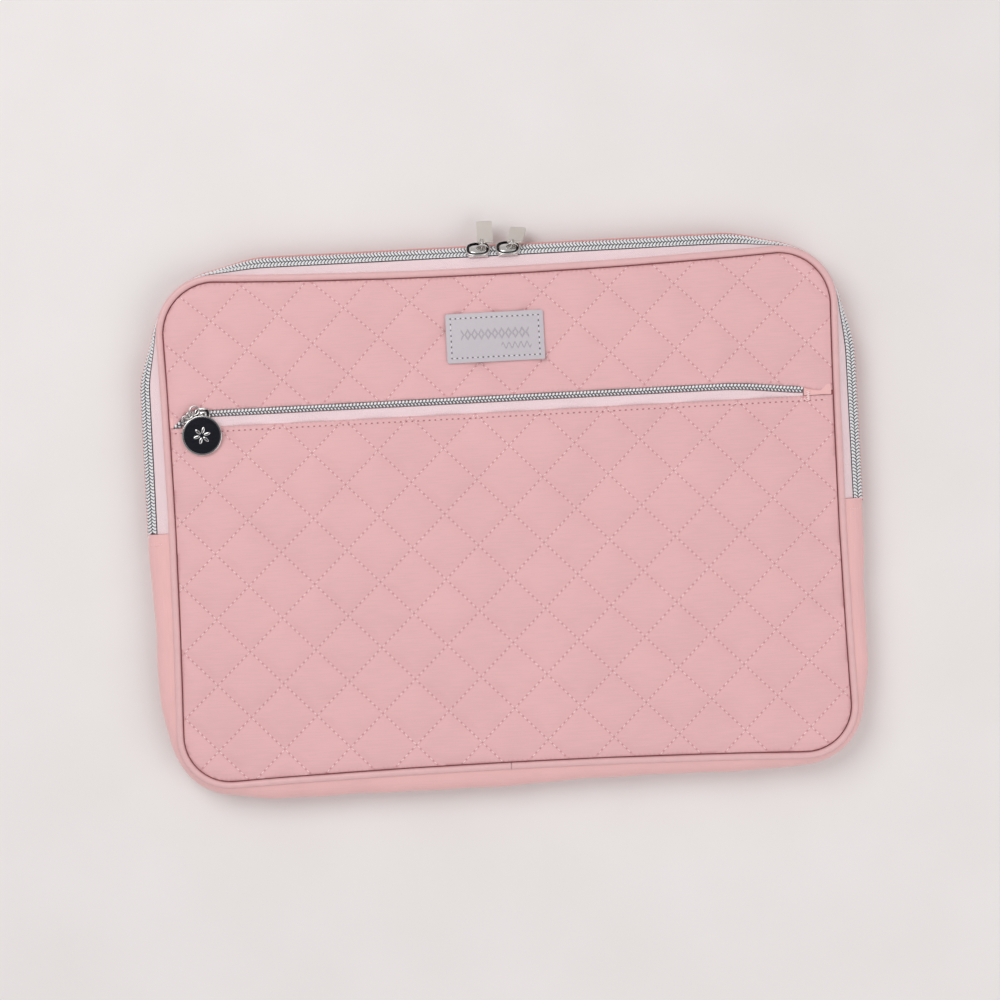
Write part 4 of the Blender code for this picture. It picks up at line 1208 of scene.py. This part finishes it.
run = np.arange(POCKET_LEFT - 7 * MM, POCKET_RIGHT - 1.2 * MM, POCKET_PITCH)
slope = (turned_down(run + 0.5 * MM) - turned_down(run - 0.5 * MM)) / MM
along = np.stack([np.ones_like(run), -slope, 0 * run], 1) / np.hypot(1, slope)[:, None]
upright = np.stack([0 * run, 0 * run, np.ones_like(run)], 1)
centre = np.stack([run, POCKET_Y - turned_down(run), POCKET_ZIP_Z + 0.45 * MM + 0 * run], 1)
for side, which in ((1, "upper"), (-1, "lower")):
    shadow_strip = crossbar(f"pocket_shadow_strip_{which}", np.arange(POCKET_LEFT - 8 * MM, POCKET_RIGHT, 1.5 * MM),
                    pocket_shadow_strip(side), coil_shadow)
    dress(shadow_strip, "front_flap", "zip_coil", f"pocket_coil_{which}")
    frames = (centre + along * 0.25 * side * POCKET_PITCH, along, np.cross(upright, along), upright)
    # Painted shade: the lower row's sewing is grey where the upper row's is white.
    leg, sewing = (LEG_UPPER, coil_white) if side > 0 else (LEG_LOWER, coil_painted_shade)
    for piece in coil_teeth(f"pocket_teeth_{which}", frames, side, POCKET_HALF, leg, THREAD_SMALL, 38, sewing):
        dress(piece, "front_flap", "zip_coil")


def lower_tape_section(x):
    top = POCKET_Y - POCKET_HALF - 0.2 * MM - turned_down(x)
    bottom = np.minimum(POCKET_EDGE - 0.8 * MM, top - 0.6 * MM)
    low, high = POCKET_ZIP_Z + 0.02 * MM, POCKET_ZIP_Z + 0.6 * MM
    return [(bottom, low), (top, low), (top, high), ((top + bottom) / 2, high - 0.1 * MM), (bottom, high - 0.28 * MM)]


def upper_tape_section(x):
    bottom = POCKET_Y + POCKET_HALF + 0.15 * MM - turned_down(x)
    low, high = POCKET_ZIP_Z + 0.02 * MM, POCKET_ZIP_Z + 0.3 * MM
    return [(bottom, low), (bottom + 2.2 * MM, low), (bottom + 2.2 * MM, high), (bottom, high)]


stations = np.arange(POCKET_LEFT - 3 * MM, POCKET_RIGHT, 2 * MM)
for name, section, node_name in (("pocket_tape_wide", lower_tape_section, "pocket_tape_lower"),
                                 ("pocket_tape_narrow", upper_tape_section, "pocket_tape_upper")):
    dress(crossbar(name, stations, section, tape_knit), "front_flap", "zip_tape", node_name)

# %% [markdown]
# ### Pocket ends and topstitching
# Folded nylon closes the window at both ends. A row of stitches runs along the pocket's edge, with a hole where
# each one goes in, shown as a dark bead of painted shade, and a short dense bar of thread holds the right end.

# %% Pocket ends and topstitching
for name, x0, x1 in (("pocket_end_left", 1.4 * MM - SEAM_X, POCKET_LEFT - 8.2 * MM),
                     ("pocket_end_right", POCKET_RIGHT - 0.4 * MM, SEAM_X - 1.9 * MM)):
    size = (x1 - x0, 5.4 * MM, 0.8 * MM)
    place = Matrix.Translation(((x0 + x1) / 2, POCKET_EDGE + 2.9 * MM, PANEL_Z + 0.5 * MM))
    fold = soft_block(name + "_fold", size, place, plain_nylon, 0.35 * MM)
    dress(fold, "front_flap", "plain_nylon", name)


def sewn_row(piece, first, last, pitch, share=0.7, shift=0.5, **looks):
    """Stitches on a piece along a straight line between two points of the plan. A shift of 0 gives their holes."""
    first, last = Vector((*first, 0)), Vector((*last, 0))
    count = round((last - first).length / pitch)
    placed = []
    for k in range(count):
        middle = first.lerp(last, (k + shift) / count)
        level = surface_height(piece, middle.x, middle.y)
        if level is not None:
            middle.z = level + STITCH_RISE
            placed.append(stitch_at(middle, (last - first).normalized(), pitch * share, **looks))
    return placed


TOPSTITCH_IN = 2.4 * MM
HOLES = dict(share=0.34, shift=0.0, width=0.75 * MM, height=0.24 * MM, wobble=0)   # a row of holes, not of thread
# Painted shade: each needle hole is a dark rose bead, standing in for the shade inside the hole.
needle_hole_shade = new_finish("needle_hole_shade", 0.8, Base_Color=srgb(172, 112, 118))[0]
topstitch_thread = cloth("topstitch_thread", srgb(238, 200, 200), 0.25 * MM, roughness=0.55, contrast=0.85)
level = POCKET_EDGE - TOPSTITCH_IN
ends = (4 * MM - SEAM_X, level), (SEAM_X - 4 * MM, level)
for name, material, looks in (("pocket_topstitch", topstitch_thread, {}),
                              ("pocket_topstitch_holes", needle_hole_shade, HOLES)):
    row = copies(name, STITCH, sewn_row(pocket_quilt, *ends, 2.9 * MM, **looks), material)
    dress(row, "front_flap", "quilted_nylon")
bartack = []
for k in range(9):
    middle = Vector((POCKET_RIGHT + 1.6 * MM, 55.0 * MM - 0.55 * MM * k, TOTAL - 0.15 * MM))
    bartack.append(stitch_at(middle, Vector((1, 0.25 * (-1) ** k, 0)).normalized(), 2.0 * MM, wobble=2))
dress(copies("pocket_bartack", STITCH, bartack, thread), "front_flap", "quilted_nylon")
print("pocket zip:", len(run), "turns a row")

# %% [markdown]
# ## Label
# A small patch of grained imitation leather, sewn on all round. Its embossing is a plain row of diamonds over a short
# wave, pressed in by the material's bump and darkened with painted shade.

# %% Label
LABEL_INSET = 2.5 * MM
label_low, label_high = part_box("label_patch")
label_middle, label_size = (label_low + label_high) / 2, label_high - label_low
label_skin = leather("label_leather", srgb(196, 189, 195), 0.55 * MM, 0.5, 0.03 * MM, contrast=0.96)
tree = label_skin.node_tree
shader = tree.nodes["Principled BSDF"]
local = node(tree, "ShaderNodeMapping", {"vector_type": "POINT"}, Vector=surface_point(tree, False),
             Location=tuple(-label_middle))
axes = node(tree, "ShaderNodeSeparateXYZ", Vector=local.outputs[0])


def window(value, half, soft=0.15 * MM):
    """1 where a value lies within half of zero, 0 beyond."""
    fade = node(tree, "ShaderNodeMapRange", {"interpolation_type": "SMOOTHSTEP"},
                Value=calc(tree, "ABSOLUTE", value), From_Min=half + soft, From_Max=half - soft)
    return fade.outputs[0]


EMBOSS_PITCH = 3.4 * MM
above = calc(tree, "SUBTRACT", axes.outputs[1], 1.6 * MM)
cell = calc(tree, "PINGPONG", axes.outputs[0], EMBOSS_PITCH / 2)
tall = calc(tree, "MULTIPLY", calc(tree, "ABSOLUTE", above), 0.6)
diamond = calc(tree, "SUBTRACT", calc(tree, "ADD", cell, tall), 1.35 * MM)
row_mark = calc(tree, "MULTIPLY", window(diamond, 0.38 * MM), window(axes.outputs[0], 17 * MM))
ripples = calc(tree, "SINE", calc(tree, "MULTIPLY", axes.outputs[0], math.tau / (3 * MM)))
wave = calc(tree, "MULTIPLY", ripples, 1.3 * MM)
below = calc(tree, "SUBTRACT", calc(tree, "ADD", axes.outputs[1], 4.6 * MM), wave)
wave_mark = calc(tree, "MULTIPLY", window(below, 0.45 * MM),
                 window(calc(tree, "SUBTRACT", axes.outputs[0], 10.5 * MM), 7.5 * MM))
pressed = calc(tree, "MAXIMUM", row_mark, wave_mark)
plain = shader.inputs["Base Color"].links[0].from_socket
# Painted shade: the pressed marks multiply the leather's colour by a darker grey.
emboss_shade = node(tree, "ShaderNodeMix", {"data_type": "RGBA", "blend_type": "MULTIPLY"},
               i0=calc(tree, "MULTIPLY", pressed, 0.8), i6=plain)
emboss_shade.inputs[7].default_value = (0.70, 0.69, 0.71, 1.0)
tree.links.new(emboss_shade.outputs[2], shader.inputs["Base Color"])
dent = node(tree, "ShaderNodeBump", Height=calc(tree, "SUBTRACT", 1.0, pressed), Distance=0.12 * MM,
            Normal=shader.inputs["Normal"].links[0].from_socket)
tree.links.new(dent.outputs[0], shader.inputs["Normal"])

bm = bmesh.new()
bmesh.ops.create_cube(bm, size=1.0)
bmesh.ops.scale(bm, vec=label_size, verts=bm.verts)
upright_edges = [e for e in bm.edges if abs(e.verts[0].co.z - e.verts[1].co.z) > MM / 2]
bmesh.ops.bevel(bm, geom=upright_edges, offset=1.0 * MM, segments=4, profile=0.5, affect="EDGES", material=-1)
rims = [e for e in bm.edges if abs(e.verts[0].co.z - e.verts[1].co.z) < 1e-7 and e.calc_face_angle(0) > 1.0]
bmesh.ops.bevel(bm, geom=rims, offset=0.3 * MM, segments=3, profile=0.5, affect="EDGES", material=-1)
bmesh.ops.translate(bm, vec=label_middle, verts=bm.verts)
label = object_from("label_leather_patch", bm, label_skin)
dress(label, "front_flap", "label_leather", "label_patch")
half_x, half_y = label_size.x / 2 - LABEL_INSET, label_size.y / 2 - LABEL_INSET
corners = [(label_middle.x + sx * half_x, label_middle.y + sy * half_y)
           for sx, sy in ((-1, -1), (1, -1), (1, 1), (-1, 1))]
bpy.context.view_layer.update()
around, holes = [], []
for first, last in zip(corners, corners[1:] + corners[:1]):
    around += sewn_row(label, first, last, 2.65 * MM, share=0.66, width=0.5 * MM, height=0.3 * MM, wobble=2)
    holes += sewn_row(label, first, last, 2.65 * MM, **HOLES)
label_thread = cloth("label_thread", srgb(232, 226, 232), 0.25 * MM, roughness=0.6, contrast=0.85)
# Painted shade: each needle hole in the label is a dark grey bead, standing in for the shade inside the hole.
label_hole_shade = new_finish("label_hole_shade", 0.8, Base_Color=srgb(104, 99, 102))[0]
dress(copies("label_stitches", STITCH, around, label_thread), "front_flap", "label_leather")
dress(copies("label_stitch_holes", STITCH, holes, label_hole_shade), "front_flap", "label_leather")
print("label:", len(around), "stitches")

# %% [markdown]
# ## Hardware
# The sliders, rings and charm are polished plating, which shows mostly what it reflects: a pale room with a dark
# patch above, where the viewer stands. The pulls are milky flexible plastic.

# %% Hardware finishes
def plating(name, colour, roughness):
    material, tree, shader = new_finish(name, roughness, Metallic=1.0, Base_Color=colour)
    marks = node(tree, "ShaderNodeGroup", {"node_tree": scuff}, Vector=surface_point(tree, False), Amount=roughness)
    tree.links.new(calc(tree, "ADD", marks.outputs[0], roughness * 0.5), shader.inputs["Roughness"])
    return material


chrome = plating("chrome", srgb(214, 212, 210), 0.14)
# Painted reflection: the sunk bands of the slider plates are dark chrome, standing in for what they reflect.
chrome_painted_dark_reflection = plating("chrome_painted_dark_reflection", srgb(62, 58, 60), 0.25)
black_metal = plating("black_metal", srgb(92, 94, 106), 0.16)
milky = new_finish("frosted_plastic", 0.42, Base_Color=srgb(231, 225, 219), Transmission_Weight=0.5, IOR=1.45)[0]


def wire_ring(bm, radius, wire, matrix, turn=360, steps=36, sides=10):
    """A ring, or an arch of part of a turn, of round wire about the matrix's Z axis."""
    start = bmesh.ops.create_circle(bm, segments=sides, radius=wire)["verts"]
    upright = Matrix.Translation((radius, 0, 0)) @ Matrix.Rotation(math.radians(90), 4, "X")
    bmesh.ops.transform(bm, matrix=upright, verts=start)
    loop = start + list({edge for vert in start for edge in vert.link_edges})
    before = set(bm.verts) - set(start)
    bmesh.ops.spin(bm, geom=loop, cent=(0, 0, 0), axis=(0, 0, 1), angle=math.radians(turn), steps=steps,
                   use_merge=turn == 360)
    if turn < 360:
        bmesh.ops.holes_fill(bm, edges=[e for e in bm.edges if e.is_boundary], sides=0)
    made = [vert for vert in bm.verts if vert not in before]
    bmesh.ops.transform(bm, matrix=matrix, verts=made)


RIM_STEPS = ((0.2, 0.2, 0), (0.3, 0.0, 0), (0.15, -0.4, 1), (1.2, 0.0, 1), (0.3, 0.3, 0), (0.3, 0.1, 0))
# each step of a plate's relief: how far in and how far up, in millimetres, and 1 for the painted dark reflection


def plate(bm, length, width, low, high, matrix):
    """An oval slider plate with a raised rim, a sunk band painted dark as a reflection and a crowned middle."""
    ring = bmesh.ops.create_circle(bm, cap_ends=True, segments=40, radius=1.0)["verts"]
    for vert in ring:
        vert.co.x = math.copysign(abs(vert.co.x) ** 0.75, vert.co.x) * length / 2
        vert.co.y = math.copysign(abs(vert.co.y) ** 0.75, vert.co.y) * width / 2
        vert.co.z = low
    top = ring[0].link_faces[0]
    bmesh.ops.contextual_create(bm, geom=list({e for v in ring for e in v.link_edges}))
    made = bmesh.ops.extrude_face_region(bm, geom=[top])["geom"]
    raised = [item for item in made if isinstance(item, bmesh.types.BMVert)]
    cap = next(item for item in made if isinstance(item, bmesh.types.BMFace))
    bmesh.ops.translate(bm, vec=(0, 0, high - low - 0.2 * MM), verts=raised)
    for inset, rise, dark in RIM_STEPS:
        outer = set(bm.faces)
        bmesh.ops.inset_individual(bm, faces=[cap], thickness=inset * MM, depth=0.0)
        bmesh.ops.translate(bm, vec=(0, 0, rise * MM), verts=cap.verts)
        for face in set(bm.faces) - outer:
            face.material_index = dark
    verts = list({v for face in bm.faces for v in face.verts})
    bmesh.ops.transform(bm, matrix=matrix, verts=verts)


def bar(bm, size, place, matrix, rounding=0.12 * MM):
    """A rounded block in a slider's own axes."""
    made = bmesh.ops.create_cube(bm, size=1.0)["verts"]
    bmesh.ops.scale(bm, vec=size, verts=made)
    bmesh.ops.translate(bm, vec=place, verts=made)
    bmesh.ops.transform(bm, matrix=matrix, verts=made)
    bmesh.ops.bevel(bm, geom=list({e for v in made for e in v.link_edges}), offset=rounding, segments=2, profile=0.5,
                    affect="EDGES", material=-1)


def hardware(name, bm, *materials):
    bmesh.ops.recalc_face_normals(bm, faces=bm.faces)
    piece = object_from(name, bm, materials[0], smooth_angle=50)
    for material in materials[1:]:
        piece.data.materials.append(material)
    return piece


# %% [markdown]
# ### Main sliders and pulls
# Each slider stands on the chain, with an arch on top. A ring hangs from the arch and carries the flat milky tab.

# %% Main sliders and pulls
SLIDER_LENGTH, SLIDER_HALF = 12.2 * MM, 4.7 * MM
CROWN_SHIFT, CROWN_LENGTH, CROWN_HEIGHT, CROWN_BAR = 2.2 * MM, 6.4 * MM, 2.9 * MM, 0.7 * MM
PULL_RING_R, PULL_RING_SHIFT, PULL_WIRE = 1.8 * MM, 0.65 * MM, 0.4 * MM
TAB_WIDTH, TAB_LENGTH, TAB_THICK, TAB_SHIFT, TAB_NECK = 8.0 * MM, 12.5 * MM, 1.2 * MM, 1.6 * MM, 1.2 * MM
PLATE_LOW = CHAIN_THICK / 2 + 0.3 * MM
PLATE_HIGH = CHAIN_THICK / 2 + 1.4 * MM


def top_chain_matrix(x):
    """On the straight top run: local X along the chain, Y across it and Z along its normal."""
    tilt = math.radians(CHAIN_TILT)
    across, normal = Vector((0, math.cos(tilt), -math.sin(tilt))), Vector((0, math.sin(tilt), math.cos(tilt)))
    return Matrix(axes_matrix((x, SEAM_Y + CHAIN_OUT, CHAIN_Z), (1, 0, 0), across, normal).tolist())


def main_slider(name, x, body):
    here = top_chain_matrix(x)
    bm = bmesh.new()
    plate(bm, SLIDER_LENGTH, 2 * SLIDER_HALF, PLATE_LOW, PLATE_HIGH, here)
    bar(bm, (SLIDER_LENGTH * 0.8, 0.5 * MM, PLATE_LOW + CHAIN_THICK / 2 + 0.5 * MM),
        (0, 0, (PLATE_LOW - CHAIN_THICK / 2 - 0.1 * MM) / 2), here)
    bar(bm, (SLIDER_LENGTH * 0.9, SLIDER_HALF - 1.2 * MM, 0.9 * MM),
        (0, -SLIDER_HALF / 2 + 0.5 * MM, -PLATE_LOW - 0.6 * MM), here)
    bar(bm, (SLIDER_LENGTH * 0.8, 0.7 * MM, 0.9 * MM), (0, 0.4 * MM - SLIDER_HALF, PLATE_LOW - 0.1 * MM), here)
    arch_height = CROWN_HEIGHT - CROWN_BAR / 2 + 0.3 * MM
    arch_half = (CROWN_LENGTH - CROWN_BAR) / 2
    foot = here @ Matrix.Translation((CROWN_SHIFT, 0, PLATE_HIGH - 0.3 * MM))
    stand = foot @ Matrix.Rotation(math.radians(90), 4, "X")
    stretch = Matrix.Diagonal((1, arch_height / arch_half, 1, 1))
    wire_ring(bm, arch_half, CROWN_BAR / 2, stand @ stretch, turn=180, steps=20)
    return dress(hardware(name + "_cast", bm, chrome, chrome_painted_dark_reflection), body, "chrome", name)


def tab(bm, lean, matrix):
    """A flat pull with rounded corners and a hole for its ring."""
    bmesh.ops.create_grid(bm, x_segments=1, y_segments=1, size=0.5)
    length = TAB_LENGTH + TAB_NECK
    bmesh.ops.scale(bm, vec=(TAB_WIDTH, length, 1), verts=bm.verts)
    bmesh.ops.bevel(bm, geom=bm.verts[:], offset=1.1 * MM, segments=5, profile=0.5, affect="VERTICES", material=-1)
    bmesh.ops.translate(bm, vec=(TAB_SHIFT, length / 2 - TAB_NECK, 0), verts=bm.verts)
    bmesh.ops.transform(bm, matrix=Matrix.Rotation(math.radians(-lean), 4, "Z"), verts=bm.verts)
    bmesh.ops.delete(bm, geom=bm.faces[:], context="FACES_ONLY")
    bmesh.ops.create_circle(bm, segments=16, radius=0.9 * MM)
    bmesh.ops.triangle_fill(bm, edges=bm.edges[:], use_beauty=True)
    raised = bmesh.ops.extrude_face_region(bm, geom=bm.faces[:])["geom"]
    lifted = [item for item in raised if isinstance(item, bmesh.types.BMVert)]
    bmesh.ops.translate(bm, vec=(0, 0, TAB_THICK), verts=lifted)
    bmesh.ops.translate(bm, vec=(0, 0, -TAB_THICK / 2), verts=bm.verts)
    bmesh.ops.transform(bm, matrix=matrix, verts=bm.verts)


def main_pull(side, x, drop, lean):
    bar_height = PLATE_HIGH + CROWN_HEIGHT - CROWN_BAR / 2
    pivot = top_chain_matrix(x + CROWN_SHIFT) @ Vector((0, 0, bar_height))
    swing = Matrix.Translation(pivot) @ Matrix.Rotation(math.radians(-drop), 4, "X")
    bm = bmesh.new()
    wire_ring(bm, PULL_RING_R, PULL_WIRE,
              swing @ Matrix.Translation((0, PULL_RING_SHIFT, 0)) @ Matrix.Rotation(math.radians(90), 4, "Y"))
    dress(hardware(side + "_ring_wire", bm, chrome), side + "_pull", "chrome", side + "_pull_ring")
    bm = bmesh.new()
    tab(bm, lean, swing @ Matrix.Translation((0, PULL_RING_SHIFT + PULL_RING_R, 0)))
    piece = hardware(side + "_tab_moulded", bm, milky)
    rounded = piece.modifiers.new("moulded edge", "BEVEL")
    rounded.width = 0.25 * MM
    rounded.segments = 3
    rounded.angle_limit = math.radians(50)
    dress(piece, side + "_pull", "frosted_plastic", side + "_pull_tab")


for side, x, drop, lean in (("left", -7.6 * MM, 35, 0), ("right", 7.4 * MM, 54, 10)):
    main_slider(side + "_slider_body", x, side + "_slider")
    main_pull(side, x, drop, lean)

# %% [markdown]
# ### Pocket slider, loop and link
# The small slider lies flat. The loop is fixed to it, and the link between loop and medallion swings with the charm.

# %% Pocket slider, loop and link
POCKET_SLIDER_X = -149.4 * MM
LOOP = Vector((-153.2 * MM, 61.2 * MM, 24.0 * MM))
LOOP_R, LINK_R, CHARM_WIRE = 2.3 * MM, 2.2 * MM, 0.4 * MM
CHARM_R, CHARM_THICK, CHARM_LEAN = 10 * MM, 1.4 * MM, 3.2
CHARM = Vector((-150.0 * MM, 48.6 * MM, 23.6 * MM))
LUG_ANGLE, LUG_REACH, LUG_R = 133, 11.6 * MM, 1.65 * MM

bm = bmesh.new()
low, high = POCKET_ZIP_Z + 1.6 * MM, POCKET_ZIP_Z + 2.6 * MM
here = Matrix.Translation((POCKET_SLIDER_X, POCKET_Y, 0))
plate(bm, 7.8 * MM, 6.4 * MM, low, high, here)
bar(bm, (6.0 * MM, 0.35 * MM, 1.8 * MM), (0, 0, POCKET_ZIP_Z + 0.9 * MM), here, rounding=0.05 * MM)
stand = here @ Matrix.Translation((0, 2.3 * MM, high - 0.3 * MM)) @ Matrix.Rotation(math.radians(90), 4, "X")
wire_ring(bm, 2.45 * MM, 0.4 * MM, stand @ Matrix.Diagonal((1, 2.2 / 2.45, 1, 1)), turn=180, steps=18)
dress(hardware("pocket_slider_cast", bm, chrome, chrome_painted_dark_reflection), "pocket_slider", "chrome", "pocket_slider_body")
bm = bmesh.new()
wire_ring(bm, LOOP_R, CHARM_WIRE, Matrix.Translation(LOOP))
dress(hardware("charm_loop_wire", bm, chrome), "pocket_slider", "chrome", "charm_loop")

lean = Matrix.Rotation(math.radians(CHARM_LEAN), 4, "X")
angle = math.radians(LUG_ANGLE)
lug = CHARM + Vector((LUG_REACH * math.cos(angle), LUG_REACH * math.sin(angle),
                      LUG_REACH * math.sin(angle) * math.tan(math.radians(CHARM_LEAN))))
toward = (lug - LOOP).normalized()
middle = LOOP + toward * ((lug - LOOP).length - 0.7 * MM - LINK_R)
bm = bmesh.new()
wire_ring(bm, LINK_R, CHARM_WIRE, Matrix.Translation(middle) @ Matrix.Rotation(math.radians(45), 4, toward))
dress(hardware("charm_link_wire", bm, chrome), "pocket_charm", "chrome", "charm_link")

# %% [markdown]
# ### Charm
# A round medallion: a polished rim, a sunk dark field and a plain rosette of six leaves.

# %% Charm
bm = bmesh.new()
bmesh.ops.create_cone(bm, cap_ends=True, segments=96, radius1=CHARM_R, radius2=CHARM_R, depth=CHARM_THICK)
rim_edges = [e for e in bm.edges if abs(e.verts[0].co.z - e.verts[1].co.z) < 1e-7]
bmesh.ops.bevel(bm, geom=rim_edges, offset=0.3 * MM, segments=3, profile=0.5, affect="EDGES", material=-1)
cap = max(bm.faces, key=lambda face: face.calc_center_median().z - abs(1 - face.normal.z))
for inset, rise, which in ((0.35, 0.0, 0), (0.25, -0.3, 0), (0.1, 0.0, 1)):
    outer = set(bm.faces)
    bmesh.ops.inset_individual(bm, faces=[cap], thickness=inset * MM, depth=0.0)
    bmesh.ops.translate(bm, vec=(0, 0, rise * MM), verts=cap.verts)
    for face in set(bm.faces) - outer:
        face.material_index = which
cap.material_index = 1
field = cap.calc_center_median().z
bmesh.ops.transform(bm, matrix=Matrix.Translation(CHARM) @ lean, verts=bm.verts)
wire_ring(bm, LUG_R, 0.34 * MM, Matrix.Translation(lug) @ lean)
disc = hardware("charm_medallion", bm, chrome, black_metal)
dress(disc, "pocket_charm", "black_metal", "charm_disc")
LEAF = bead(3.4 * MM, 1.5 * MM, 0.34 * MM, segments=12, rings=8)
leaves = []
for k in range(6):
    turn = math.radians(60 * k + 15)
    spot = Matrix.Translation((2.7 * MM * math.cos(turn), 2.7 * MM * math.sin(turn), field + 0.05 * MM))
    leaves.append(np.array(Matrix.Translation(CHARM) @ lean @ spot @ Matrix.Rotation(turn, 4, "Z")))
rosette = copies("charm_rosette", LEAF, leaves, chrome)
dress(rosette, "pocket_charm", "black_metal")
